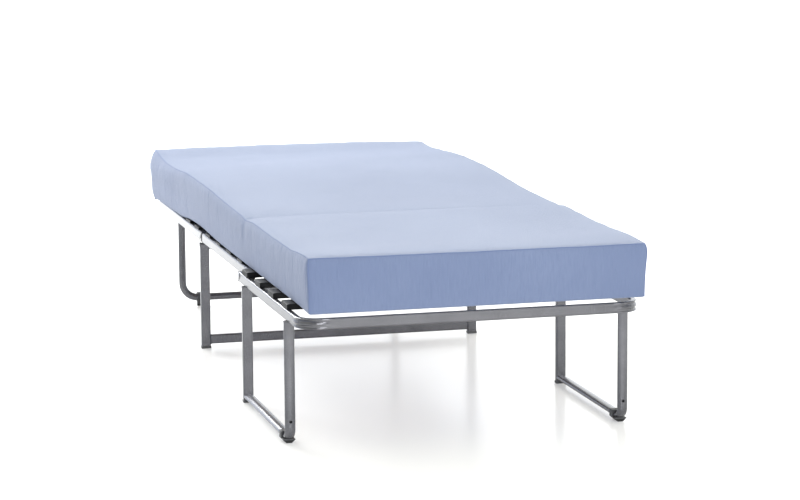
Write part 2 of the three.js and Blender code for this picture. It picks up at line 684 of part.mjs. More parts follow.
function middleUpright() {
  const { y, z } = MIDDLE_LEG_PIVOT;
  const tube = moved(legTube(FOOT_CAP_HEIGHT + CLEAR, z + TUBE_WIDTH), 0, y, 0);
  const rounded = roundedAbout(tube, MIDDLE_LEG_PIVOT, TUBE_DEPTH, 2 * TUBE_WIDTH);
  const bore = moved(rodX(PIVOT_RADIUS + CLEAR, TUBE_DEPTH + 10), 0, y, z);
  return fromSolid(rounded.subtract(solid(bore)));
}

// Angle bracket under the rail: a flat on the rail's underside and a flange beside the upright.
function middleLegBracket(way) {
  const inner = MIDDLE_LEG_INNER_X - CLEAR - BRACKET_FLANGE;
  const top = MIDDLE_RAIL_BOTTOM - CLEAR;
  const shape = new THREE.Shape();
  shape.moveTo(inner, top - BRACKET_DROP);
  shape.lineTo(inner + BRACKET_FLANGE, top - BRACKET_DROP);
  shape.lineTo(inner + BRACKET_FLANGE, top - BRACKET_SHEET);
  shape.lineTo(MIDDLE_LEG_OUTER_X, top - BRACKET_SHEET);
  shape.lineTo(MIDDLE_LEG_OUTER_X, top);
  shape.lineTo(inner, top);
  const angle = new THREE.ExtrudeGeometry(shape, { depth: BRACKET_LENGTH, bevelEnabled: false });
  angle.translate(0, 0, -BRACKET_LENGTH / 2);
  angle.rotateX(Math.PI / 2);
  const bracket = moved(towardSide(angle, way), 0, MIDDLE_LEG_PIVOT.y, 0);
  const bore = rodX(PIVOT_RADIUS + CLEAR, 2 * MIDDLE_OUTER_X);
  return cut(bracket, moved(bore, 0, MIDDLE_LEG_PIVOT.y, MIDDLE_LEG_PIVOT.z));
}

function buildMiddleLeg() {
  const { y, z } = MIDDLE_LEG_PIVOT;
  const start = MIDDLE_LEG_INNER_X - CLEAR - BRACKET_FLANGE - PIN_TAIL;
  const shank = MIDDLE_LEG_OUTER_X + CLEAR - start;
  for (const [side, x] of mirrored(MIDDLE_LEG_X)) {
    const way = Math.sign(x);
    add(`middle_leg_${side}_upright`, middleUpright(), paintedSteel, x);
    add(`middle_leg_${side}_cap`, footCap(), greyPlastic, x, y);
    add(`middle_leg_${side}_bracket`, middleLegBracket(way), zincSteel);
    const pin = towardSide(rivet(shank, PIN_HEAD_RADIUS, PIN_HEAD_HEIGHT), way);
    add(`middle_leg_${side}_pin`, pin, zincSteel, way * start, y, z);
  }
  const bar = crossTube(2 * (MIDDLE_LEG_INNER_X - CLEAR));
  add('middle_leg_cross_bar', bar, paintedSteel, 0, y, MIDDLE_BAR_LIFT + TUBE_DEPTH / 2);
}

// ---------------------------------------------------------------- far leg frame

const FAR_BAR_Z = FAR_BAR_LIFT + FAR_LEG_TUBE / 2;

function farLegSweep(grow, hollow) {
  const top = FAR_LEG_PIVOT.z + TUBE_WIDTH;
  const corners = [
    [-FAR_LEG_X, top], [-FAR_LEG_X, FAR_BAR_Z], [FAR_LEG_X, FAR_BAR_Z], [FAR_LEG_X, top],
  ];
  const route = bentRoute(corners, FAR_LEG_BEND_RADIUS, 7);
  const section = ovalTube(FAR_LEG_TUBE + 2 * grow, TUBE_WIDTH + 2 * grow);
  return sweep(route, section, (x, z) => new THREE.Vector3(x, FAR_LEG_Y, z), Y_AXIS, { hollow });
}

function farLegTube() {
  const rounded = roundedAbout(farLegSweep(0, true), FAR_LEG_PIVOT, 2 * FAR_LEG_OUTER_X, 2 * TUBE_WIDTH);
  const bore = moved(rodX(PIVOT_RADIUS + CLEAR, 2 * MIDDLE_OUTER_X), 0, FAR_LEG_Y, FAR_LEG_PIVOT.z);
  return fromSolid(rounded.subtract(solid(bore)));
}

// The clip's cheeks stand up each side of the bar and their lips curl over its top.
function farClip(x) {
  const barTop = FAR_BAR_LIFT + FAR_LEG_TUBE;
  const body = clipBody(TUBE_WIDTH, FAR_BAR_LIFT, barTop + CLIP_LIP, FAR_CLIP_LENGTH).rotateZ(Math.PI / 2);
  const mouth = block(FAR_CLIP_LENGTH + 2, TUBE_WIDTH - 2 * CLIP_LIP, FAR_LEG_TUBE);
  return cut(
    moved(body, x, FAR_LEG_Y, 0),
    farLegSweep(CLEAR, false),
    moved(mouth, x, FAR_LEG_Y, barTop),
  );
}

// Clevis on the inside of the end rail: a back with an ear each side of the upright.
function farLegBracket(x) {
  const back = FAR_FRAME_END - TUBE_WIDTH - CLEAR;
  const depth = back - FAR_LEG_Y;
  const halfWidth = FAR_LEG_TUBE / 2 + 2 * CLEAR;
  const ear = strap(depth, FAR_BRACKET_DEPTH, FAR_BRACKET_EAR).rotateZ(Math.PI);
  const plate = block(2 * (halfWidth + FAR_BRACKET_EAR), BRACKET_SHEET, FAR_BRACKET_DEPTH);
  let bracket = solid(moved(plate, 0, depth - BRACKET_SHEET / 2, 0));
  for (const way of [-1, 1]) {
    bracket = bracket.add(solid(moved(ear, way * (halfWidth + FAR_BRACKET_EAR / 2), 0, 0)));
  }
  return moved(fromSolid(bracket), x, FAR_LEG_Y, FAR_LEG_PIVOT.z);
}

function buildFarLeg() {
  add('far_leg_tube', farLegTube(), paintedSteel);
  const reach = FAR_LEG_TUBE / 2 + 2 * CLEAR + FAR_BRACKET_EAR;
  for (const [side, x] of mirrored(FAR_LEG_X)) {
    add(`far_leg_${side}_bracket`, farLegBracket(x), zincSteel);
    const way = Math.sign(x);
    const start = x - way * (reach + PIN_TAIL);
    const pin = rivet(2 * reach + PIN_TAIL + CLEAR, PIN_HEAD_RADIUS, PIN_HEAD_HEIGHT);
    add(`far_leg_${side}_pin`, towardSide(pin, way), zincSteel, start, FAR_LEG_Y, FAR_LEG_PIVOT.z);
  }
  for (const [side, x] of mirrored(FAR_LEG_X - FAR_CLIP_INSET)) {
    add(`far_leg_${side}_foot_clip`, farClip(x), footRubber);
  }
}

// ---------------------------------------------------------------- slats and holders

const SLAT_TOP = DECK_TOP - SLAT_TOP_BELOW_DECK;

// Cambered strip: straight where it sits in its holders, bowed up between them.
function slat(halfLength) {
  const flat = halfLength - SLAT_STRAIGHT_END;
  const shape = new THREE.Shape();
  shape.moveTo(-halfLength, 0);
  shape.lineTo(-flat, 0);
  shape.quadraticCurveTo(0, 2 * SLAT_CAMBER, flat, 0);
  shape.lineTo(halfLength, 0);
  shape.lineTo(halfLength, -SLAT_THICKNESS);
  shape.lineTo(flat, -SLAT_THICKNESS);
  shape.quadraticCurveTo(0, 2 * SLAT_CAMBER - SLAT_THICKNESS, -flat, -SLAT_THICKNESS);
  shape.lineTo(-halfLength, -SLAT_THICKNESS);
  const strip = new THREE.ExtrudeGeometry(shape, {
    depth: SLAT_WIDTH, bevelEnabled: false, curveSegments: 10,
  });
  return strip.translate(0, 0, -SLAT_WIDTH / 2).rotateX(Math.PI / 2);
}

// Moulded holder for one slat end on the +X side: a cap over the rail's top that drops beside
// the rail's inner face and grips the slat.
function holder(railOuter, railTop) {
  const outer = railOuter - HOLDER_INSET;
  const inner = outer - HOLDER_REACH;
  const besideRail = railOuter - TUBE_WIDTH - CLEAR;
  const seat = railTop + CLEAR;
  const floor = Math.min(seat, SLAT_TOP - SLAT_THICKNESS - HOLDER_FLOOR);
  const shape = new THREE.Shape();
  shape.moveTo(outer, seat);
  shape.lineTo(outer, DECK_TOP);
  shape.lineTo(inner, DECK_TOP);
  shape.lineTo(inner, floor);
  if (floor < seat) {
    shape.lineTo(besideRail, floor);
    shape.lineTo(besideRail, seat);
  }
  const body = new THREE.ExtrudeGeometry(shape, { depth: HOLDER_LENGTH, bevelEnabled: false });
  return body.translate(0, 0, -HOLDER_LENGTH / 2).rotateX(Math.PI / 2);
}

function buildDeck(prefix, railOuter, railTop, slatYs) {
  const strip = moved(slat(railOuter - TUBE_WIDTH - HOLDER_END_WALL), 0, 0, SLAT_TOP);
  const grip = holder(railOuter, railTop);
  const held = join(strip, grip, towardSide(grip, -1));
  slatYs.forEach((y, i) => add(`${prefix}_slat_${i + 1}`, held.clone(), beechPly, 0, y));
}

// ---------------------------------------------------------------- mattress

// One length of the mattress between two places along Y, full width, with rounded long edges.
function mattressLength(start, end) {
  const halfWidth = MATTRESS_WIDTH / 2;
  const r = MATTRESS_EDGE;
  const shape = new THREE.Shape();
  shape.moveTo(r - halfWidth, 0);
  shape.lineTo(halfWidth - r, 0);
  shape.absarc(halfWidth - r, r, r, -Math.PI / 2, 0, false);
  shape.absarc(halfWidth - r, MATTRESS_THICKNESS - r, r, 0, Math.PI / 2, false);
  shape.absarc(r - halfWidth, MATTRESS_THICKNESS - r, r, Math.PI / 2, Math.PI, false);
  shape.absarc(r - halfWidth, r, r, Math.PI, 1.5 * Math.PI, false);
  const foam = new THREE.ExtrudeGeometry(shape, {
    depth: end - start, bevelEnabled: false, curveSegments: 5,
  });
  return foam.rotateX(Math.PI / 2).translate(MATTRESS_SHIFT, end, DECK_TOP + CLEAR);
}

function buildMattress() {
  const front = -MATTRESS_LENGTH / 2;
  const top = DECK_TOP + CLEAR + MATTRESS_THICKNESS;
  const firstFold = FIRST_PIVOT.y - (DECK_TOP - FIRST_PIVOT.z) - 7;
  const firstEnd = FIRST_PIVOT.y + (top - FIRST_PIVOT.z) + FOLD_MARGIN;
  const secondFold = FAR_RAIL_START - 2 * PIVOT_INSET + 3;
  const secondEnd = SECOND_PIVOT.y + (top - SECOND_PIVOT.z) + FOLD_MARGIN;
  const lengths = [
    ['mattress_near', front, firstFold],
    ['mattress_first_fold', firstFold, firstEnd],
    ['mattress_middle', firstEnd, secondFold],
    ['mattress_second_fold', secondFold, secondEnd],
    ['mattress_far', secondEnd, front + MATTRESS_LENGTH + CLEAR],
  ];
  for (const [name, start, end] of lengths) add(name, mattressLength(start, end - CLEAR), blueCover);
}

// ---------------------------------------------------------------- assembly

buildNearFrame();
buildLoops();
buildMiddleFrame();
buildFirstHinge();
buildSecondHinge();
buildFarFrame();
buildMiddleLeg();
buildFarLeg();
buildDeck('near', NEAR_RAIL_X + TUBE_WIDTH / 2, NEAR_RAIL_TOP, NEAR_SLAT_YS);
buildDeck('middle', MIDDLE_OUTER_X, MIDDLE_RAIL_TOP, MIDDLE_SLAT_YS);
buildDeck('far', MIDDLE_OUTER_X, MIDDLE_RAIL_TOP, FAR_SLAT_YS);
buildMattress();

export default group;
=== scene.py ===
"""Folding cot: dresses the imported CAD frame, makes the covered mattress, and sets the studio."""
import json
import math

import bmesh
import bpy
import numpy as np
from mathutils import Matrix, Vector, noise


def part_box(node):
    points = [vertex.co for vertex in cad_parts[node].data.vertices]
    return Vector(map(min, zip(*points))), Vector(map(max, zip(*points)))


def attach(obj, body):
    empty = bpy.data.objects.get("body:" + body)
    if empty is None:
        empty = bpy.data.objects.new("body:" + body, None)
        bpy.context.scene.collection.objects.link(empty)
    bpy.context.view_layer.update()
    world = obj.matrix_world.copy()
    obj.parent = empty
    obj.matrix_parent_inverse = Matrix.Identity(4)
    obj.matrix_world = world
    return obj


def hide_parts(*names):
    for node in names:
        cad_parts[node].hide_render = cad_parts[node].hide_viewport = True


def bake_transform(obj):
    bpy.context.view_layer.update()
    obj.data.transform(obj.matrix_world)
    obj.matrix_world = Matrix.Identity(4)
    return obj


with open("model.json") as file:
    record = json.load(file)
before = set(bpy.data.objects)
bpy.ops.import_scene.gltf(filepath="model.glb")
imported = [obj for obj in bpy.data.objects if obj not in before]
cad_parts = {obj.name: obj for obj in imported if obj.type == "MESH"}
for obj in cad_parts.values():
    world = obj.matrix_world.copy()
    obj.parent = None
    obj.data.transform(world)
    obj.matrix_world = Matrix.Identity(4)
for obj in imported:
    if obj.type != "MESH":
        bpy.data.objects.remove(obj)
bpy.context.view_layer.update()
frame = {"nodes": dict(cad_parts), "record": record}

GAP = 0.0003  # between pieces that touch

# ---------------------------------------------------------------- places read from the frame


def corners(*nodes):
    """Lowest and highest corner of some CAD nodes together."""
    boxes = [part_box(node) for node in nodes]
    low = Vector([min(b[0][k] for b in boxes) for k in range(3)])
    high = Vector([max(b[1][k] for b in boxes) for k in range(3)])
    return low, high


def middle_of(node):
    """The middle of a CAD node's box."""
    low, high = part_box(node)
    return (low + high) / 2


MATTRESS_NODES = [n for n in frame["nodes"] if n.startswith("mattress_")]
FOAM_LOW, FOAM_HIGH = corners(*MATTRESS_NODES)
SPLIT_Y = 0.14  # where the cover's two lengths meet, on the middle section
RAIL_LOW, RAIL_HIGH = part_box("middle_left_rail")
TUBE_WIDTH = RAIL_HIGH.x - RAIL_LOW.x

# ---------------------------------------------------------------- colours (linear)

COVER_BLUE = (0.238, 0.298, 0.472)
COVER_BLUE_DEEP = (0.194, 0.249, 0.416)
SEAM_BLUE = (0.130, 0.195, 0.410)
PAINT_GREY = (0.162, 0.163, 0.180)
PAINT_GREY_DARK = (0.137, 0.138, 0.154)
ZINC = (0.52, 0.52, 0.53)
ZINC_DARK = (0.40, 0.40, 0.41)
BLACK = (0.012, 0.012, 0.013)
BLACK_WORN = (0.030, 0.030, 0.032)
GREY_MOULDING = (0.165, 0.167, 0.175)
GREY_MOULDING_DARK = (0.120, 0.122, 0.130)
RUBBER_GREY = (0.070, 0.070, 0.074)
BEECH = (0.62, 0.42, 0.22)
BEECH_DARK = (0.42, 0.25, 0.11)
WHITE = (1.0, 1.0, 1.0)

# ---------------------------------------------------------------- node materials

BLACK_BOTTOM_HEIGHT = 0.0065  # the foot clips are black below this
BLACK_BOTTOM_EDGE = 0.0006  # and grey from this much higher
WEAVE_PITCH = 0.0011


class Nodes:
    """Builds a node tree: add returns its node, and the helpers below it their node's output."""

    def __init__(self, tree):
        self.tree = tree

    def add(self, kind, inputs=None, **settings):
        node = self.tree.nodes.new(kind)
        for name, value in settings.items():
            setattr(node, name, value)
        for name, value in (inputs or {}).items():
            self.put(node.inputs[name], value)
        return node

    def put(self, socket, value):
        """Links another node's output to the socket, or sets the socket's own value."""
        if isinstance(value, bpy.types.NodeSocket):
            self.tree.links.new(value, socket)
        elif isinstance(value, tuple) and len(value) == 3 and len(socket.default_value) == 4:
            socket.default_value = (*value, 1)
        else:
            socket.default_value = value

    def noise(self, vector, scale, detail, roughness=0.5):
        node = self.add("ShaderNodeTexNoise", {
            "Vector": vector, "Scale": scale, "Detail": detail, "Roughness": roughness,
        })
        return node.outputs["Fac"]

    def stretch(self, vector, scale):
        node = self.add("ShaderNodeMapping", {"Vector": vector, "Scale": scale})
        return node.outputs["Vector"]

    def ramp(self, value, low, high, to_low=0.0, to_high=1.0):
        node = self.add("ShaderNodeMapRange", {
            "Value": value, "From Min": low, "From Max": high, "To Min": to_low, "To Max": to_high,
        })
        return node.outputs["Result"]

    def mix(self, factor, first, second):
        """Mixes two colours, by the numbers that the node's colour sockets have."""
        node = self.add("ShaderNodeMix", data_type="RGBA")
        self.put(node.inputs[0], factor)
        self.put(node.inputs[6], first)
        self.put(node.inputs[7], second)
        return node.outputs[2]

    def math(self, operation, first, second=0.0):
        node = self.add("ShaderNodeMath", operation=operation)
        self.put(node.inputs[0], first)
        self.put(node.inputs[1], second)
        return node.outputs[0]

    def bump(self, height, distance, strength, normal=None):
        node = self.add("ShaderNodeBump", {
            "Height": height, "Distance": distance, "Strength": strength,
        })
        if normal is not None:
            self.put(node.inputs["Normal"], normal)
        return node.outputs["Normal"]


def material(name, build):
    """A new material whose Principled BSDF gets the sockets that build(nodes, place) returns."""
    mat = bpy.data.materials.new(name)
    mat.use_nodes = True
    tree = mat.node_tree
    shader = next(n for n in tree.nodes if n.type == "BSDF_PRINCIPLED")
    nodes = Nodes(tree)
    place = nodes.add("ShaderNodeTexCoord").outputs["Object"]
    for socket, value in build(nodes, place).items():
        nodes.put(shader.inputs[socket], value)
    return mat


def painted_steel(nodes, place):
    cloud = nodes.noise(place, 22.0, 4.0)
    fleck = nodes.noise(place, 2600.0, 2.0)
    colour = nodes.mix(nodes.ramp(cloud, 0.35, 0.65), PAINT_GREY_DARK, PAINT_GREY)
    orange_peel = nodes.bump(nodes.noise(place, 420.0, 2.0), 0.00006, 0.5)
    return {
        "Base Color": colour,
        "Metallic": 0.6,
        "Roughness": nodes.ramp(fleck, 0.3, 0.7, 0.20, 0.30),
        "Coat Weight": 0.3,
        "Coat Roughness": 0.12,
        "Normal": orange_peel,
    }


def zinc_steel(nodes, place):
    bloom = nodes.noise(place, 160.0, 4.0)
    return {
        "Base Color": nodes.mix(bloom, ZINC_DARK, ZINC),
        "Metallic": 0.9,
        "Roughness": nodes.ramp(bloom, 0.3, 0.7, 0.25, 0.45),
    }


def black_plastic(nodes, place):
    grain = nodes.noise(place, 900.0, 3.0)
    wear = nodes.noise(place, 45.0, 5.0)
    return {
        "Base Color": nodes.mix(nodes.ramp(wear, 0.5, 0.75), BLACK, BLACK_WORN),
        "Roughness": nodes.ramp(wear, 0.3, 0.7, 0.38, 0.55),
        "Specular IOR Level": 0.15,
        "Normal": nodes.bump(grain, 0.00008, 0.6),
    }


def grey_plastic(nodes, place):
    grain = nodes.noise(place, 900.0, 3.0)
    scuff = nodes.noise(place, 70.0, 4.0)
    return {
        "Base Color": nodes.mix(scuff, GREY_MOULDING_DARK, GREY_MOULDING),
        "Roughness": nodes.ramp(scuff, 0.3, 0.7, 0.40, 0.55),
        "Normal": nodes.bump(grain, 0.00008, 0.5),
    }


def foot_rubber(nodes, place):
    """A grey moulded clip, black in its lowest few millimetres next to the floor."""
    grain = nodes.noise(place, 700.0, 3.0)
    dust = nodes.noise(place, 60.0, 4.0)
    height = nodes.add("ShaderNodeSeparateXYZ", {"Vector": place}).outputs[2]
    above = nodes.ramp(height, BLACK_BOTTOM_HEIGHT, BLACK_BOTTOM_HEIGHT + BLACK_BOTTOM_EDGE)
    black_bottom = nodes.mix(nodes.ramp(dust, 0.4, 0.8), BLACK, BLACK_WORN)
    clip = nodes.mix(dust, RUBBER_GREY, GREY_MOULDING_DARK)
    return {
        "Base Color": nodes.mix(above, black_bottom, clip),
        "Roughness": nodes.ramp(dust, 0.3, 0.7, 0.5, 0.7),
        "Normal": nodes.bump(grain, 0.0001, 0.7),
    }


def beech(nodes, place):
    along = nodes.stretch(place, (3.0, 60.0, 60.0))
    grain = nodes.noise(along, 4.0, 6.0, 0.6)
    flecks = nodes.noise(nodes.stretch(place, (40.0, 700.0, 700.0)), 1.0, 2.0)
    colour = nodes.mix(nodes.ramp(grain, 0.35, 0.7), BEECH_DARK, BEECH)
    return {
        "Base Color": nodes.mix(nodes.ramp(flecks, 0.62, 0.75, 0.0, 0.5), colour, BEECH_DARK),
        "Roughness": nodes.ramp(grain, 0.3, 0.7, 0.38, 0.55),
        "Normal": nodes.bump(grain, 0.0001, 0.4),
    }


def weave_height(nodes, place):
    """Plain weave whose upright threads stand a little prouder than the level ones."""
    axes = nodes.add("ShaderNodeSeparateXYZ", {"Vector": place}).outputs
    turns = 2 * math.pi / WEAVE_PITCH
    upright = nodes.math("SINE", nodes.math("MULTIPLY", nodes.math("ADD", axes[0], axes[1]), turns))
    level = nodes.math("SINE", nodes.math("MULTIPLY", nodes.math("ADD", axes[1], axes[2]), turns))
    return nodes.math("ADD", upright, nodes.math("MULTIPLY", level, 0.6))


def cover_cloth(nodes, place):
    """Woven cover with uneven threads: short slubs, and longer upright ripples on its sides."""
    slub = nodes.noise(nodes.stretch(place, (1.0, 1.0, 0.12)), 260.0, 3.0)
    ripple = nodes.noise(nodes.stretch(place, (1.0, 1.0, 0.16)), 135.0, 2.0, 0.4)
    cloud = nodes.noise(place, 3.2, 3.0)
    colour = nodes.mix(nodes.ramp(cloud, 0.3, 0.7), COVER_BLUE_DEEP, COVER_BLUE)
    colour = nodes.mix(nodes.ramp(slub, 0.42, 0.70, 0.0, 0.60), colour, COVER_BLUE_DEEP)
    facing = nodes.add("ShaderNodeNewGeometry").outputs["Normal"]
    upward = nodes.add("ShaderNodeSeparateXYZ", {"Vector": facing}).outputs[2]
    on_side = nodes.ramp(nodes.math("ABSOLUTE", upward), 0.3, 0.8, 1.0, 0.25)
    ripples = nodes.bump(nodes.math("MULTIPLY", ripple, on_side), 0.0038, 0.50)
    streaks = nodes.bump(slub, 0.0012, 0.55, ripples)
    creases = nodes.bump(nodes.noise(place, 34.0, 4.0, 0.6), 0.004, 0.10, streaks)
    return {
        "Base Color": colour,
        "Roughness": 0.85,
        "Sheen Weight": 0.47,
        "Sheen Roughness": 0.45,
        "Sheen Tint": (*WHITE, 1),
        "Specular IOR Level": 0.25,
        "Normal": nodes.bump(weave_height(nodes, place), 0.00012, 0.5, creases),
    }


def seam_thread(nodes, place):
    twist = nodes.noise(place, 900.0, 2.0)
    return {
        "Base Color": nodes.mix(twist, SEAM_BLUE, COVER_BLUE_DEEP),
        "Roughness": 0.9,
        "Sheen Weight": 0.3,
        "Normal": nodes.bump(twist, 0.0003, 0.6),
    }


PAINT = material("painted_steel_fine", painted_steel)
ZINC_PLATE = material("zinc_plate", zinc_steel)
PLASTIC = material("black_moulding", black_plastic)
GREY_PLASTIC = material("grey_moulding", grey_plastic)
RUBBER = material("foot_rubber", foot_rubber)
WOOD = material("beech_veneer", beech)
COVER = material("blue_cover_cloth", cover_cloth)
SEAM = material("cover_seam", seam_thread)

BY_SLOT = {
    "painted_steel": PAINT,
    "zinc_steel": ZINC_PLATE,
    "black_plastic": PLASTIC,
    "grey_plastic": GREY_PLASTIC,
    "foot_rubber": RUBBER,
    "beech_slat": WOOD,
    "blue_cover": COVER,
}
for part in frame["record"]["subparts"]:
    node = frame["nodes"][part["node"]]
    for slot in node.material_slots:
        slot.material = BY_SLOT[part["material_slot"]]

# ---------------------------------------------------------------- mesh helpers


def new_object(name, mesh, *materials):
    for mat in materials:
        mesh.materials.append(mat)
    obj = bpy.data.objects.new(name, mesh)
    bpy.context.scene.collection.objects.link(obj)
    return obj


def mesh_from(name, verts, faces, smooth=True):
    mesh = bpy.data.meshes.new(name)
    mesh.from_pydata([tuple(v) for v in verts], [], faces)
    mesh.validate()
    mesh.polygons.foreach_set("use_smooth", [smooth] * len(mesh.polygons))
    return mesh


def applied(obj):
    """Replaces the object's mesh by the one that its modifiers make."""
    graph = bpy.context.evaluated_depsgraph_get()
    mesh = bpy.data.meshes.new_from_object(obj.evaluated_get(graph))
    obj.modifiers.clear()
    obj.data = mesh


def bevelled(obj, width):
    """Rounds the object's sharp edges."""
    bevel = obj.modifiers.new("edges", "BEVEL")
    bevel.width = width
    bevel.segments = 2
    bevel.limit_method = "ANGLE"
    bevel.angle_limit = math.radians(35)
    bevel.harden_normals = True
    applied(obj)


def hollowed(obj, cutter):
    """Cuts one solid out of another and removes the cutter."""
    cut = obj.modifiers.new("pocket", "BOOLEAN")
    cut.operation = "DIFFERENCE"
    cut.solver = "EXACT"
    cut.object = cutter
    applied(obj)
    bpy.data.objects.remove(cutter)


def prism(name, outline, depth, mat):
    """A closed solid: an outline in X and Z, carried along Y over depth about y = 0."""
    count = len(outline)
    verts = [(x, y, z) for y in (-depth / 2, depth / 2) for x, z in outline]
    faces = [tuple(range(count)), tuple(reversed(range(count, 2 * count)))]
    faces += [(i, i + count, (i + 1) % count + count, (i + 1) % count) for i in range(count)]
    body = bmesh.new()
    made = [body.verts.new(v) for v in verts]
    for f in faces:
        body.faces.new([made[i] for i in f])
    bmesh.ops.recalc_face_normals(body, faces=body.faces)
    mesh = bpy.data.meshes.new(name)
    body.to_mesh(mesh)
    body.free()
    mesh.polygons.foreach_set("use_smooth", [True] * len(mesh.polygons))
    return new_object(name, mesh, mat)


def tube(path, radius, sides=8, closed=False):
    """Vertices and faces of a round tube along a path of points."""
    points = [Vector(p) for p in path]
    count = len(points)
    verts, faces = [], []
    side = None
    for i, point in enumerate(points):
        ahead = points[(i + 1) % count] if closed or i < count - 1 else point
        behind = points[i - 1] if closed or i > 0 else point
        direction = (ahead - behind).normalized()
        if side is None:
            side = direction.orthogonal().normalized()
        side = (side - direction * side.dot(direction)).normalized()
        other = direction.cross(side)
        for k in range(sides):
            angle = 2 * math.pi * k / sides
            verts.append(point + radius * (math.cos(angle) * side + math.sin(angle) * other))
    rings = count if closed else count - 1
    for i in range(rings):
        for k in range(sides):
            a, b = i * sides + k, i * sides + (k + 1) % sides
            c, d = ((i + 1) % count) * sides + (k + 1) % sides, ((i + 1) % count) * sides + k
            faces.append((a, b, c, d))
    if not closed:
        faces.append(tuple(reversed(range(sides))))
        faces.append(tuple(range((count - 1) * sides, count * sides)))
    return verts, faces


# ---------------------------------------------------------------- curves in numbers


def smoothstep(low, high, value):
    """0 up to low and 1 from high, with a soft rise between; low may be the larger of the two."""
    t = np.clip((value - low) / (high - low), 0, 1)
    return t * t * (3 - 2 * t)


def plateau(value, rise, fall):
    """0 outside and 1 inside, with a soft rise and a soft fall between the given pairs."""
    return smoothstep(*rise, value) * (1 - smoothstep(*fall, value))


def bell(offset, width):
    """1 at no offset, with a soft fall to both sides."""
    return np.exp(-(offset / width) ** 2)


def noise_at(xs, ys, zs):
    """Blender's smooth noise at many places; a single number counts for all of them."""
    return np.array([noise.noise(Vector(place)) for place in np.broadcast(xs, ys, zs)])


# ---------------------------------------------------------------- the mattress's lattice

EDGE_RADIUS = 0.0055
CORNER_RADIUS = 0.009  # of the upright corners, seen from above
EDGE_ROWS = (0.0, 0.0035, 0.007, 0.0105, 0.015, 0.022)  # from each end of a side
COVER_SPACING = 0.0125  # between the rows elsewhere
CREASE_Y = -0.300
CREASE_ROW = 0.003
TINY = 1e-9
SAME_PLACE = 1e-6


def graded(low, high):
    """Places from low to high: close together at both ends, where the edges turn."""
    inner_low, inner_high = low + EDGE_ROWS[-1], high - EDGE_ROWS[-1]
    count = max(2, round((inner_high - inner_low) / COVER_SPACING))
    inner = [inner_low + (inner_high - inner_low) * i / count for i in range(1, count)]
    return np.array([low + d for d in EDGE_ROWS] + inner + [high - d for d in reversed(EDGE_ROWS)])


def with_crease_rows(ys):
    """Adds close rows where the cover folds sharply."""
    reach = 6 * CREASE_ROW
    rows = CREASE_Y + np.arange(-reach, reach + CREASE_ROW / 2, CREASE_ROW)
    kept = ys[np.abs(ys - CREASE_Y) > reach + CREASE_ROW]
    return np.sort(np.concatenate((kept, rows)))


def box_lattice(xs, ys, zs):
    """The surface of a grid of boxes: points, quads, and each point's place in the grid."""
    size = (len(xs), len(ys), len(zs))
    index, points, grid = {}, [], []

    def vertex(place):
        if place not in index:
            index[place] = len(points)
            points.append((xs[place[0]], ys[place[1]], zs[place[2]]))
            grid.append(place)
        return index[place]

    faces = []
    for axis in range(3):
        u, v = (axis + 1) % 3, (axis + 2) % 3
        for level in (0, size[axis] - 1):
            for i in range(size[u] - 1):
                for j in range(size[v] - 1):
                    quad = []
                    for di, dj in ((0, 0), (1, 0), (1, 1), (0, 1)):
                        place = [0, 0, 0]
                        place[axis], place[u], place[v] = level, i + di, j + dj
                        quad.append(vertex(tuple(place)))
                    faces.append(quad if level else quad[::-1])
    return np.array(points), faces, np.array(grid)


def rounded(points, low, high, radius):
    """Rounds a box surface's edges and corners."""
    inner = np.clip(points, low + radius, high - radius)
    offset = points - inner
    length = np.linalg.norm(offset, axis=1, keepdims=True)
    return inner + offset / np.maximum(length, TINY) * radius


def corners_eased(points, low, high, radius):
    """Draws the four upright corners in to a larger radius."""
    plan = points[:, :2]
    inner = np.clip(plan, low[:2] + radius, high[:2] - radius)
    offset = plan - inner
    length = np.linalg.norm(offset, axis=1, keepdims=True)
    eased = inner + offset * np.minimum(1, radius / np.maximum(length, TINY))
    return np.column_stack((eased, points[:, 2]))


# ---------------------------------------------------------------- how the cover lies

FOAM_MIDDLE_X = (FOAM_LOW.x + FOAM_HIGH.x) / 2
FOAM_HALF_WIDTH = 0.4
HUMP_Y = 0.41  # the top is highest here, 0.1 m beyond the second joint
HUMP_HEIGHT = 0.0144
HUMP_REACH_NEAR = 0.40
HUMP_REACH_FAR = 0.29
FAR_EDGE_LIFT = 0.0085
NEAR_EDGE_LIFT = 0.0034
LIP_HEIGHT = 0.0032  # of the swelling just before the crease
CREASE_DEPTH = 0.0012  # at its left end
# The crease comes nearer by the first of these up to the mattress's middle, and by the second
# from there to its right side.
CREASE_TURN = (0.030, 0.040)
PANEL_BULGE_DEPTH = 0.022  # the side panels stand out most at this depth below the top seam
PANEL_REACH = 0.012  # what lies this close to a side moves with its panel
LOOSE_PANEL = 0.0122  # how far the left panel hangs out at the head end
UNDERSIDE_ARCH = 0.0065
HEM_DROP = 0.0098
TAB_DROP = 0.0070


def across_at(x):
    """-1 at the mattress's left side, 0 at its middle and 1 at its right side."""
    return (x - FOAM_MIDDLE_X) / FOAM_HALF_WIDTH


def hump_lift(across, y):
    """The broad hump over the second joint, which falls faster beyond its top than before it."""
    from_top = y - (HUMP_Y + 0.04 * across)
    reach = np.where(from_top < 0, HUMP_REACH_NEAR, HUMP_REACH_FAR + 0.06 * across)
    return (HUMP_HEIGHT + 0.0036 * across) * np.exp(-np.abs(from_top / reach) ** 3)


def fill_lift(across, y):
    """Between its ends the top is slack in its left half and full in its right half."""
    leftward, rightward = (1 - across) / 2, (1 + across) / 2
    slack = -0.0035 * leftward * plateau(y, (-0.98, -0.80), (0.70, 0.90))
    full = 0.0026 * rightward * plateau(y, (-0.70, -0.45), (0.36, 0.66))
    dip = -0.0015 * leftward * bell(y - 0.80, 0.08)
    return slack + full + dip


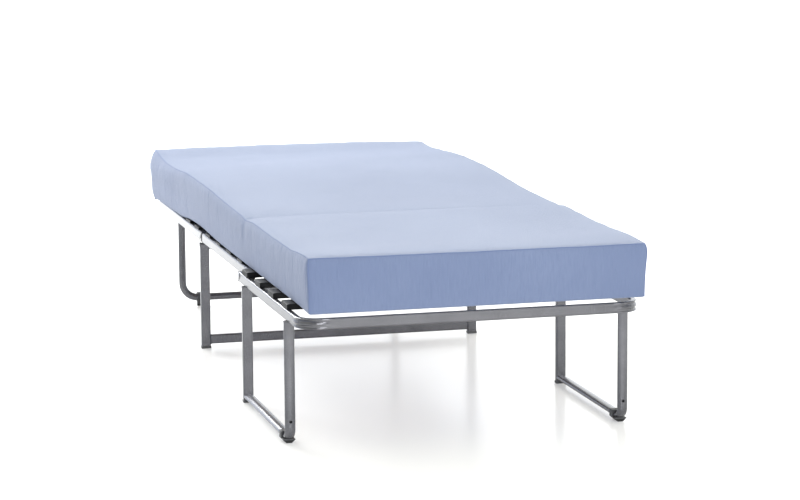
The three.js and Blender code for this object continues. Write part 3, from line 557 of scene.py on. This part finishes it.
def end_lift(across, y):
    """The far end turns up, most at its middle, and the near end a little, most at the right."""
    far_edge = FAR_EDGE_LIFT - 0.0025 * across + 0.0040 * (1 - across ** 2)
    near_edge = NEAR_EDGE_LIFT - 0.0008 * across + 0.0012 * across ** 2
    near_right = 0.0044 * (1 + across) / 2 * plateau(y, (-0.99, -0.86), (-0.80, -0.34))
    return far_edge * smoothstep(0.84, 1.0, y) + near_edge * bell(y + 0.96, 0.12) + near_right


def crease_lift(across, y):
    """The lip before the first joint's crease, and the valley that is sharp along it."""
    beyond = y - CREASE_Y
    lip = (LIP_HEIGHT + 0.0014 * across) * plateau(beyond, (-0.34, -0.04), (-0.014, 0.002))
    sharp = (CREASE_DEPTH + 0.0028 * smoothstep(-0.8, 0.3, across)) * np.exp(-np.abs(beyond) / 0.010)
    broad = 0.0046 * ((1 - across) / 2) ** 3 * bell(beyond + 0.015, 0.055)
    return lip - sharp - broad


def top_lift(x, y):
    """How much higher than flat the mattress's top lies: it keeps the bends of being folded."""
    across = across_at(x)
    return hump_lift(across, y) + fill_lift(across, y) + end_lift(across, y) + crease_lift(across, y)


def underside_lift(y):
    """The underside's arch over the second joint, and its sag at both ends."""
    arch = UNDERSIDE_ARCH * bell(y - 0.31, 0.18)
    sag = -0.0030 * (1 - smoothstep(-1.0, -0.88, y)) - 0.0020 * smoothstep(0.92, 1.0, y)
    return arch + sag


def undulation(x, y, z):
    """Soft unevenness of foam and cover."""
    broad = noise_at(x * 2.6, y * 2.1, z * 3.0 + 4.2)
    small = noise_at(x * 9.0, y * 7.0, z * 8.0 + 1.7)
    return 0.0012 * broad + 0.0005 * small


def puckers(along, offset):
    """Small gathers that a seam pulls into the cloth next to it."""
    return noise_at(along * 48.0, offset, 2.5)


def long_waves(along):
    """The slow rise and fall of a seam that is a little slack."""
    return noise_at(along * 15.0, 8.3, 0.6)


def rumple(y, z):
    """Slack folds in the cover's sides, a hand's breadth apart."""
    return noise_at(y * 16.0 + z * 6.0, z * 11.0, 5.1)


def panel_bulge(x, y):
    """How far the side panels stand out below the top seam, fullest at two of the corners."""
    left = 0.0040 + 0.0060 * smoothstep(0.55, 1.0, y)
    right = 0.0045 + 0.0030 * smoothstep(-0.70, -1.0, y)
    return np.where(x < 0, left, right)


def below_top(z):
    """How far down from the mattress's top a place is."""
    return np.maximum(FOAM_HIGH.z - z, 0)


def below_seam(depth):
    """0 on the top seam, 1 at the depth where a panel stands out most, and less further down."""
    u = depth / PANEL_BULGE_DEPTH
    return u * np.exp(1 - u)


def seam_pull(depth):
    """How much of the seam's puckers the cloth has at some depth below it."""
    return np.exp(-depth / 0.016) * (1 - np.exp(-depth / 0.003))


def side_spread(x, y, z, height, wander):
    """How far the left and right panels stand out: less at the crease, loose at the far left."""
    depth = below_top(z)
    spread = panel_bulge(x, y) * (1 - 0.7 * bell(y - CREASE_Y, 0.020)) * below_seam(depth)
    loose = np.where(x < FOAM_MIDDLE_X, LOOSE_PANEL, 0.0) * smoothstep(0.60, 1.0, y)
    spread += loose * smoothstep(0.004, 0.050, depth) * (1 - 0.6 * smoothstep(0.100, 0.122, depth))
    folds = (0.0007 + 0.0009 * smoothstep(0.3, 1.0, y)) * rumple(y, z)
    spread += folds * np.minimum(height * 4, 1) + 1.2 * wander * np.minimum(height * 3, 1)
    return spread + 0.0014 * seam_pull(depth) * puckers(y, 0.3)


def end_spread(x, z, wander):
    """How far the near and far panels stand out."""
    depth = below_top(z)
    return 0.0030 * below_seam(depth) + wander + 0.0012 * seam_pull(depth) * puckers(x, 7.7)


def seam_waves(x, y, from_edge):
    """The rise and fall of the top next to its seams, more towards the head end."""
    slacker = 1 + 0.8 * smoothstep(0.3, 0.9, y)
    waves = 0.0007 * puckers(x + y, 4.4) + 0.0013 * long_waves(x + y)
    return waves * np.exp(-from_edge / 0.014) * slacker


def crease_shift(x, y):
    """How much nearer the top lies about the crease, which turns on its way to the right."""
    across = across_at(x)
    by_middle, by_right = CREASE_TURN
    nearer = by_middle * smoothstep(-0.9, 0.1, across) + by_right * smoothstep(0.0, 1.0, across)
    return nearer * bell(y - CREASE_Y, 0.10)


def hem_drop(x, y, on_end):
    """How far the bottom edge hangs along the left side's far part, with a tab at its corner."""
    outermost = 1 - smoothstep(0.0008, 0.0028, x - FOAM_LOW.x)
    hem = HEM_DROP * smoothstep(0.44, 0.60, y) * outermost
    corner = np.hypot(x - FOAM_LOW.x, y - FOAM_HIGH.y)
    return hem + TAB_DROP * bell(corner, 0.022) * on_end


def settled(points):
    """Bends the swollen cover to the way it lies: its panels stand out, its top is arched over
    the second joint and creased at the first, and its loose hem hangs at the head end."""
    x, y, z = points.T.copy()
    height = np.clip((z - FOAM_LOW.z) / (FOAM_HIGH.z - FOAM_LOW.z), 0, 1)
    from_side = np.minimum(x - FOAM_LOW.x, FOAM_HIGH.x - x)
    from_end = np.minimum(y - FOAM_LOW.y, FOAM_HIGH.y - y)
    on_side = 1 - smoothstep(0.0, PANEL_REACH, from_side)
    on_end = 1 - smoothstep(0.0, PANEL_REACH, from_end)
    wander = undulation(x, y, z)
    x = x + np.sign(x - FOAM_MIDDLE_X) * on_side * side_spread(x, y, z, height, wander)
    y = y + np.sign(y) * on_end * end_spread(x, z, wander)
    z = z + top_lift(x, y) * smoothstep(0.15, 1.0, height)
    z = z + underside_lift(y) * (1 - smoothstep(0.0, 0.9, height))
    z = z + (wander + seam_waves(x, y, np.minimum(from_side, from_end))) * height
    y = y - crease_shift(x, y) * height
    z = z - hem_drop(x, y, on_end) * (1 - smoothstep(0.05, 0.18, height))
    return np.column_stack((x, y, z))


# ---------------------------------------------------------------- mattress

SWELL = 0.001  # the pad starts this much inside its space and swells past it
TOP_INSET = 0.0005
TOP_CROWN = 0.0026  # the most that the top may swell
SIDE_CROWN = 0.0025
SWELL_FRAMES = 20
HELD_ROWS = 2  # what lies up to this many rows from an edge or the underside doesn't swell
SEAM_RADIUS = 0.0013
NEAR_NODES = ("mattress_near", "mattress_first_fold", "mattress_middle")
# An edge of the box is named by two of its axes (0, 1, 2 for X, Y, Z) and which end of each.
TOP_SEAMS = [{0: 0, 2: 1}, {0: 1, 2: 1}, {1: 0, 2: 1}, {1: 1, 2: 1}]
CORNER_SEAMS = [{0: i, 1: j} for i in (0, 1) for j in (0, 1)]


def swollen(name, points, faces, held):
    """Blows the cover up a little over its foam by cloth simulation, with its edges held."""
    obj = new_object(name, mesh_from(name, points, faces))
    group = obj.vertex_groups.new(name="held")
    group.add([int(i) for i in np.nonzero(held)[0]], 1.0, "REPLACE")
    cloth = obj.modifiers.new("swell", "CLOTH")
    settings = cloth.settings
    settings.quality = 5
    settings.mass = 0.25
    settings.tension_stiffness = 22
    settings.compression_stiffness = 12
    settings.shear_stiffness = 8
    settings.bending_stiffness = 0.4
    settings.use_pressure = True
    settings.uniform_pressure_force = 3.5
    settings.shrink_min = -0.004
    settings.vertex_group_mass = "held"
    settings.effector_weights.gravity = 0
    cloth.collision_settings.use_collision = False
    cloth.point_cache.frame_start = 1
    cloth.point_cache.frame_end = SWELL_FRAMES
    for step in range(1, SWELL_FRAMES + 1):
        bpy.context.scene.frame_set(step)
    applied(obj)
    found = np.array([v.co for v in obj.data.vertices])
    bpy.data.objects.remove(obj)
    bpy.context.scene.frame_set(1)
    return found


def cover_points(points, faces, grid, sizes):
    """Where the cover's points end up: rounded, swollen by no more than its crown, and settled."""
    low = np.array(FOAM_LOW) + [SWELL, SWELL, GAP]
    high = np.array(FOAM_HIGH) - [SWELL, SWELL, TOP_INSET]
    start = low + (points - FOAM_LOW) / (np.array(FOAM_HIGH) - FOAM_LOW) * (high - low)
    start = rounded(start, low, high, EDGE_RADIUS)
    start = corners_eased(start, low, high, CORNER_RADIUS)
    from_end = np.minimum(grid, np.array(sizes) - 1 - grid)
    on_edge = (from_end <= HELD_ROWS).sum(axis=1) >= 2
    under = grid[:, 2] <= HELD_ROWS
    found = swollen("mattress_swelling", start, faces, on_edge | under)
    cap = np.where(grid[:, 2] == sizes[2] - 1, TOP_CROWN, SIDE_CROWN)[:, None]
    move = found - start
    length = np.linalg.norm(move, axis=1, keepdims=True)
    move *= cap * np.tanh(length / cap) / np.maximum(length, TINY)
    return settled(start + move)


def edge_path(points, grid, sizes, fixed):
    """The cover's points along one edge of the box: fixed gives the two held grid places."""
    wanted = [
        i for i, place in enumerate(grid)
        if all(place[axis] == (sizes[axis] - 1 if end else 0) for axis, end in fixed.items())
    ]
    free = next(axis for axis in range(3) if axis not in fixed)
    wanted.sort(key=lambda i: grid[i][free])
    return [Vector(points[i]) for i in wanted]


def add_seam(body, path):
    """Adds the cord of a seam to the cover's mesh, in its second material."""
    ring_verts, ring_faces = tube(path, SEAM_RADIUS, 6)
    made = [body.verts.new(v) for v in ring_verts]
    for f in ring_faces:
        face = body.faces.new([made[i] for i in f])
        face.smooth = True
        face.material_index = 1


def mattress_part(name, low_y, high_y, cover, replaced):
    """One length of the mattress between low_y and high_y, closed, with its seams."""
    points, faces, seams = cover
    low_y, high_y = low_y - SAME_PLACE, high_y + SAME_PLACE
    kept = [f for f in faces if low_y <= points[list(f), 1].mean() <= high_y]
    used = sorted({i for f in kept for i in f})
    renumber = {old: new for new, old in enumerate(used)}
    verts = [tuple(points[i]) for i in used]
    quads = [tuple(renumber[i] for i in f) for f in kept]
    mesh = mesh_from(name, verts, quads)
    body = bmesh.new()
    body.from_mesh(mesh)
    open_edges = [e for e in body.edges if e.is_boundary]
    closing = bmesh.ops.edgeloop_fill(body, edges=open_edges)
    for face in closing["faces"]:
        face.smooth = False
    for edge in open_edges:
        edge.smooth = False
    bmesh.ops.recalc_face_normals(body, faces=body.faces)
    for path in seams:
        inside = [p for p in path if low_y <= p.y <= high_y]
        if len(inside) > 1:
            add_seam(body, inside)
    body.to_mesh(mesh)
    body.free()
    obj = new_object(name, mesh, COVER, SEAM)
    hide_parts(*replaced)
    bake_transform(obj)


def build_mattress():
    """One cover over all the foam, cut at SPLIT_Y into two lengths that lie over a hinge each."""
    xs = graded(FOAM_LOW.x, FOAM_HIGH.x)
    ys = with_crease_rows(graded(FOAM_LOW.y, FOAM_HIGH.y))
    zs = graded(FOAM_LOW.z, FOAM_HIGH.z)
    split_row = int(np.argmin(np.abs(ys - SPLIT_Y)))
    ys[split_row] = SPLIT_Y
    sizes = (len(xs), len(ys), len(zs))
    points, faces, grid = box_lattice(xs, ys, zs)
    points = cover_points(points, faces, grid, sizes)
    points[grid[:, 1] == split_row, 1] = SPLIT_Y
    seams = [edge_path(points, grid, sizes, fixed) for fixed in TOP_SEAMS + CORNER_SEAMS]
    cover = (points, faces, seams)
    near = [n for n in MATTRESS_NODES if n in NEAR_NODES]
    far = [n for n in MATTRESS_NODES if n not in NEAR_NODES]
    low, high = points[:, 1].min(), points[:, 1].max()
    mattress_part(
        "mattress_cover_near", low, SPLIT_Y, cover,
        near,
    )
    mattress_part(
        "mattress_cover_far", SPLIT_Y, high, cover,
        far,
    )


# ---------------------------------------------------------------- slats and holders

SECTION_RAILS = {"near": "near_frame_tube", "middle": "middle_left_rail", "far": "far_frame_tube"}
SECTION_BODIES = {"near": "foot_end", "middle": "middle_section", "far": "head_end"}
SLAT_THICKNESS = 0.008
SLAT_WIDTH = 0.053
SLAT_CAMBER = 0.003
SLAT_STRAIGHT_END = 0.045
SLAT_TOP_BELOW_DECK = 0.0032
SLAT_BEVEL = 0.0018
HOLDER_REACH = 0.045
HOLDER_INSET = 0.002
HOLDER_LENGTH = 0.060
HOLDER_END_WALL = 0.003
HOLDER_FLOOR = 0.0021
HOLDER_CHAMFER = (0.006, 0.0010)  # at its outer end, along the slat and down
HOLDER_SLOPE = 0.012  # over this length its top falls to the slat
HOLDER_LIP = 0.0008  # what it keeps above the slat there
HOLDER_BEVEL = 0.0011


def slat_outline(half, top):
    """A sprung strip from above: flat where it is held, bowed up between its holders."""
    bow = half - SLAT_STRAIGHT_END
    steps = 24
    upper = [(-half, top)]
    for i in range(steps + 1):
        t = -1 + 2 * i / steps
        upper.append((bow * t, top + SLAT_CAMBER * (1 - t * t)))
    upper.append((half, top))
    lower = [(x, z - SLAT_THICKNESS) for x, z in reversed(upper)]
    return upper + lower


def holder_outline(outer, rail_inner, seat, deck, slat_top):
    """Section of the holder at the +X end: it laps the rail's top and hooks over its inner side."""
    inner = outer - HOLDER_REACH
    floor = min(seat, slat_top - SLAT_THICKNESS - GAP - HOLDER_FLOOR)
    chamfer_along, chamfer_down = HOLDER_CHAMFER
    outline = [
        (outer, seat), (outer, deck - chamfer_down),
        (outer - chamfer_along, deck), (inner + HOLDER_SLOPE, deck),
        (inner, slat_top + GAP + HOLDER_LIP), (inner, floor),
    ]
    if floor < seat:
        outline += [(rail_inner - GAP, floor), (rail_inner - GAP, seat)]
    return outline


def pocket_outline(outer, rail_inner, slat_top):
    """Section of the pocket that the slat's end slides into, open towards the middle."""
    inner = outer - HOLDER_REACH - HOLDER_END_WALL
    end = rail_inner - HOLDER_END_WALL + GAP
    top, bottom = slat_top + GAP, slat_top - SLAT_THICKNESS - GAP
    return [(end, top), (inner, top), (inner, bottom), (end, bottom)]


def build_slat(node):
    """A sprung strip in place of the CAD slat, and the two holders that its ends slide into."""
    section = node.split("_")[0]
    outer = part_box(node)[1].x
    rail_inner = outer + HOLDER_INSET - TUBE_WIDTH
    rail_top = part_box(SECTION_RAILS[section])[1].z
    deck = FOAM_LOW.z - GAP
    slat_top = deck - SLAT_TOP_BELOW_DECK
    to_place = Matrix.Translation((0, middle_of(node).y, 0))
    strip = prism(
        f"{node}_strip", slat_outline(rail_inner - HOLDER_END_WALL, slat_top), SLAT_WIDTH, WOOD,
    )
    bevelled(strip, SLAT_BEVEL)
    strip.data.transform(to_place)
    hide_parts(node)
    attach(strip, SECTION_BODIES[section])
    outline = holder_outline(outer, rail_inner, rail_top + GAP, deck, slat_top)
    pocket = pocket_outline(outer, rail_inner, slat_top)
    for side, way in (("left", -1), ("right", 1)):
        grip = prism(
            f"{node}_{side}_holder", [(way * x, z) for x, z in outline], HOLDER_LENGTH, PLASTIC,
        )
        space = prism("pocket", [(way * x, z) for x, z in pocket], SLAT_WIDTH + 2 * GAP, PLASTIC)
        hollowed(grip, space)
        bevelled(grip, HOLDER_BEVEL)
        grip.data.transform(to_place)
        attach(grip, SECTION_BODIES[section])


def build_slats():
    for part in frame["record"]["subparts"]:
        if part["material_slot"] == "beech_slat":
            build_slat(part["node"])


# ---------------------------------------------------------------- small fittings

WELD_RADIUS = 0.0016
TUBE_CORNER = 0.003
PLUG_THICKNESS = 0.002
PLUG_BEVEL = 0.0007
RIVET_RADIUS = 0.0042
RIVET_HEIGHT = 0.0020
RIVET_PLACES = (0.009, 0.025)  # along the middle rail, from the hinge plate's near end


def round_cornered(half_a, half_b):
    """A tube's rectangular section as pairs of numbers about its middle."""
    path = []
    for quarter, (sa, sb) in enumerate(((1, 1), (-1, 1), (-1, -1), (1, -1))):
        for step in range(5):
            angle = (quarter + step / 4) * math.pi / 2
            a = sa * (half_a - TUBE_CORNER) + TUBE_CORNER * math.cos(angle)
            b = sb * (half_b - TUBE_CORNER) + TUBE_CORNER * math.sin(angle)
            path.append((a, b))
    return path


def oval(half_a, half_b):
    """A tube's oval section as pairs of numbers about its middle."""
    turns = [2 * math.pi * step / 24 for step in range(24)]
    return [(half_a * math.cos(turn), half_b * math.sin(turn)) for turn in turns]


def add_weld(name, path, body):
    """A bead along a closed path."""
    obj = new_object(name, mesh_from(name, *tube(path, WELD_RADIUS, closed=True)), PAINT)
    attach(obj, body)


def build_welds():
    """Beads round the tubes where they meet the rails they are welded to."""
    half_tube = TUBE_WIDTH / 2
    for side in ("left", "right"):
        low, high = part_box(f"{side}_loop_tube")
        centre = Vector(((low.x + high.x) / 2, low.y + half_tube, high.z))
        section = oval((high.x - low.x) / 2, half_tube)
        path = [(centre.x + a, centre.y + b, centre.z) for a, b in section]
        add_weld(f"{side}_loop_weld", path, "foot_end")
        low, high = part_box(f"{side}_rear_leg")
        centre = middle_of(f"{side}_rear_leg")
        section = round_cornered((high.x - low.x) / 2, (high.y - low.y) / 2)
        path = [(centre.x + a, centre.y + b, high.z) for a, b in section]
        add_weld(f"{side}_rear_leg_weld", path, "foot_end")
    for node, body in (
        ("near_cross_tube", "foot_end"), ("middle_cross_tube_1", "middle_section"),
        ("middle_cross_tube_2", "middle_section"), ("far_cross_tube", "head_end"),
        ("middle_leg_cross_bar", "middle_leg_frame"),
    ):
        low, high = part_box(node)
        centre = middle_of(node)
        section = round_cornered((high.y - low.y) / 2, (high.z - low.z) / 2)
        for side, x in (("left", low.x), ("right", high.x)):
            path = [(x, centre.y + a, centre.z + b) for a, b in section]
            add_weld(f"{node}_{side}_weld", path, body)


def build_rail_ends():
    """Black plugs in the open rail ends at the two hinges."""
    middle = middle_of("middle_left_rail")
    far_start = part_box("far_frame_tube")[0].y
    ends = (
        ("middle_front", RAIL_LOW.y - GAP, -1, "middle_section"),
        ("middle_rear", RAIL_HIGH.y + GAP, 1, "middle_section"),
        ("far_front", far_start - GAP, -1, "head_end"),
    )
    a, b = TUBE_WIDTH / 2, (RAIL_HIGH.z - RAIL_LOW.z) / 2
    section = [(-a, -b), (a, -b), (a, b), (-a, b)]
    for name, y, way, body in ends:
        for side, x in (("left", -abs(middle.x)), ("right", abs(middle.x))):
            plug = prism(f"{name}_{side}_plug", section, PLUG_THICKNESS, PLASTIC)
            bevelled(plug, PLUG_BEVEL)
            centre = (x, y + way * PLUG_THICKNESS / 2, middle.z)
            plug.data.transform(Matrix.Translation(centre))
            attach(plug, body)


def dome(way):
    """A rivet head's vertices and faces: its flat side lies at x = 0 and it rises along X by way."""
    rings, sides = 4, 16
    verts, faces = [], []
    for i in range(rings):
        angle = (i / rings) * math.pi / 2
        r, h = RIVET_RADIUS * math.cos(angle), RIVET_HEIGHT * math.sin(angle)
        for k in range(sides):
            turn = 2 * math.pi * k / sides
            verts.append((way * h, r * math.cos(turn), r * math.sin(turn)))
    verts.append((way * RIVET_HEIGHT, 0, 0))
    for i in range(rings - 1):
        for k in range(sides):
            n = (k + 1) % sides
            faces.append((i * sides + k, i * sides + n, (i + 1) * sides + n, (i + 1) * sides + k))
    last = (rings - 1) * sides
    faces += [(last + k, last + (k + 1) % sides, len(verts) - 1) for k in range(sides)]
    faces.append(tuple(reversed(range(sides))))
    return verts, faces


def build_rivets():
    """Two rivets hold each hinge plate to the middle rail."""
    for side, way in (("left", 1), ("right", -1)):
        low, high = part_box(f"{side}_hinge_plate")
        inner_x = high.x if way > 0 else low.x
        for number, along in enumerate(RIVET_PLACES, 1):
            name = f"{side}_hinge_rivet_{number}"
            centre = (inner_x + way * GAP, low.y + along, (low.z + high.z) / 2)
            mesh = mesh_from(name, *dome(way))
            mesh.transform(Matrix.Translation(centre))
            obj = new_object(name, mesh, ZINC_PLATE)
            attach(obj, "middle_section")


# ---------------------------------------------------------------- studio

SKY_LOW = (0.950, 0.990, 1.070)
SKY_LEFT = (0.870, 0.990, 1.300)
SKY_HIGH = (1.000, 0.990, 0.850)
FLOOR_HALF = 40.0
FLOOR_DROP = 0.0004  # below the soles
FLOOR_WHITE = (0.82, 0.82, 0.82)
FLOOR_SEEN = 0.31
FLOOR_GLOW = 0.05
GLOW_BEHIND = (1.0, 2.4)  # along Y: between these what metal sees of the floor turns brighter
GLOW_STRIP_START = (-2.8, -2.2)
GLOW_STRIP_END = (-1.6, -1.1)
CAMERA_PLACE = (-1.780, -7.157, 1.495)
CAMERA_TURN = math.radians(14.61)
CAMERA_DOWN = math.radians(9.2)
CAMERA_ROLL = math.radians(-0.39)
CAMERA_LENS = 128.66


def studio_floor(nodes, place):
    """White; metal shows it as white as the backdrop, behind the bed and in a strip before it."""
    along = nodes.add("ShaderNodeSeparateXYZ", {"Vector": place}).outputs[1]
    path = nodes.add("ShaderNodeLightPath").outputs
    # Painted reflection: for glossy rays only, the floor glows brighter behind the bed and in a
    # strip before it.
    behind = nodes.ramp(along, *GLOW_BEHIND, 0.05, 0.45)
    strip_start = nodes.ramp(along, *GLOW_STRIP_START, 0.0, 0.85)
    strip_end = nodes.ramp(along, *GLOW_STRIP_END, 1.0, 0.0)
    before = nodes.math("MULTIPLY", strip_start, strip_end)
    reflected = nodes.math("MULTIPLY", path["Is Glossy Ray"], nodes.math("ADD", behind, before))
    seen = nodes.math("MULTIPLY", path["Is Camera Ray"], FLOOR_SEEN)
    return {
        "Base Color": FLOOR_WHITE,
        "Roughness": 0.20,
        "Specular IOR Level": 0.22,
        "Emission Color": WHITE,
        "Emission Strength": nodes.math("ADD", nodes.math("ADD", reflected, seen), FLOOR_GLOW),
    }


def build_floor():
    half = FLOOR_HALF
    square = [(-half, -half, 0), (half, -half, 0), (half, half, 0), (-half, half, 0)]
    mesh = mesh_from("floor", square, [(0, 1, 2, 3)], smooth=False)
    mesh.transform(Matrix.Translation((0, 0, -FLOOR_DROP)))
    floor = new_object("floor", mesh, material("studio_floor", studio_floor))


def area_light(name, place, target, width, height, power):
    """A rectangular lamp at place that shines at target and isn't seen itself."""
    data = bpy.data.lights.new(name, "AREA")
    data.shape = "RECTANGLE"
    data.size = width
    data.size_y = height
    data.energy = power
    obj = bpy.data.objects.new(name, data)
    obj.location = place
    obj.rotation_euler = (Vector(target) - Vector(place)).to_track_quat("-Z", "Y").to_euler()
    obj.visible_camera = False
    bpy.context.scene.collection.objects.link(obj)


def build_lights():
    area_light("back", (-1.2, 4.3, 2.9), (0, 0.2, 0.3), width=3.0, height=2.0, power=256)
    area_light("front_fill", (0.4, -5.2, 1.7), (0, -1.0, 0.3), width=3.0, height=1.6, power=99)


def build_world():
    """An even white studio, somewhat brighter behind the bed than behind the camera."""
    world = bpy.data.worlds.new("studio")
    world.use_nodes = True
    tree = world.node_tree
    tree.nodes.clear()
    nodes = Nodes(tree)
    direction = nodes.add("ShaderNodeTexCoord").outputs["Generated"]
    parts = nodes.add("ShaderNodeSeparateXYZ", {"Vector": direction}).outputs
    behind = nodes.ramp(parts[1], -0.9, 0.9, 0.50, 1.72)
    level = nodes.math("MULTIPLY", behind, nodes.ramp(parts[0], -0.9, 0.9, 0.64, 1.12))
    low = nodes.mix(nodes.ramp(parts[0], -0.8, 0.2), SKY_LEFT, SKY_LOW)
    colour = nodes.mix(nodes.ramp(parts[2], 0.0, 0.8), low, SKY_HIGH)
    light = nodes.add("ShaderNodeBackground", {"Color": colour, "Strength": level})
    white = nodes.add("ShaderNodeBackground", {"Color": WHITE, "Strength": 1.0})
    seen = nodes.add("ShaderNodeLightPath").outputs["Is Camera Ray"]
    mixed = nodes.add("ShaderNodeMixShader", {0: seen, 1: light.outputs[0], 2: white.outputs[0]})
    output = nodes.add("ShaderNodeOutputWorld")
    tree.links.new(mixed.outputs[0], output.inputs["Surface"])
    bpy.context.scene.world = world


def build_camera():
    """Turned to the right and down from straight ahead along +Y, with a slight roll."""
    data = bpy.data.cameras.new("camera")
    data.sensor_width = 36.0
    data.lens = CAMERA_LENS
    obj = bpy.data.objects.new("camera", data)
    ahead = Vector((
        math.sin(CAMERA_TURN) * math.cos(CAMERA_DOWN),
        math.cos(CAMERA_TURN) * math.cos(CAMERA_DOWN),
        -math.sin(CAMERA_DOWN),
    ))
    right = Vector((math.cos(CAMERA_TURN), -math.sin(CAMERA_TURN), 0))
    up = right.cross(ahead)
    turned_right = right * math.cos(CAMERA_ROLL) + up * math.sin(CAMERA_ROLL)
    turned_up = up * math.cos(CAMERA_ROLL) - right * math.sin(CAMERA_ROLL)
    rotation = Matrix((turned_right, turned_up, -ahead)).transposed()
    obj.matrix_world = Matrix.Translation(CAMERA_PLACE) @ rotation.to_4x4()
    bpy.context.scene.collection.objects.link(obj)
    bpy.context.scene.camera = obj


build_camera()
build_mattress()
build_slats()
build_welds()
build_rail_ends()
build_rivets()
build_floor()
build_lights()
build_world()
bpy.context.scene.view_settings.view_transform = "Standard"
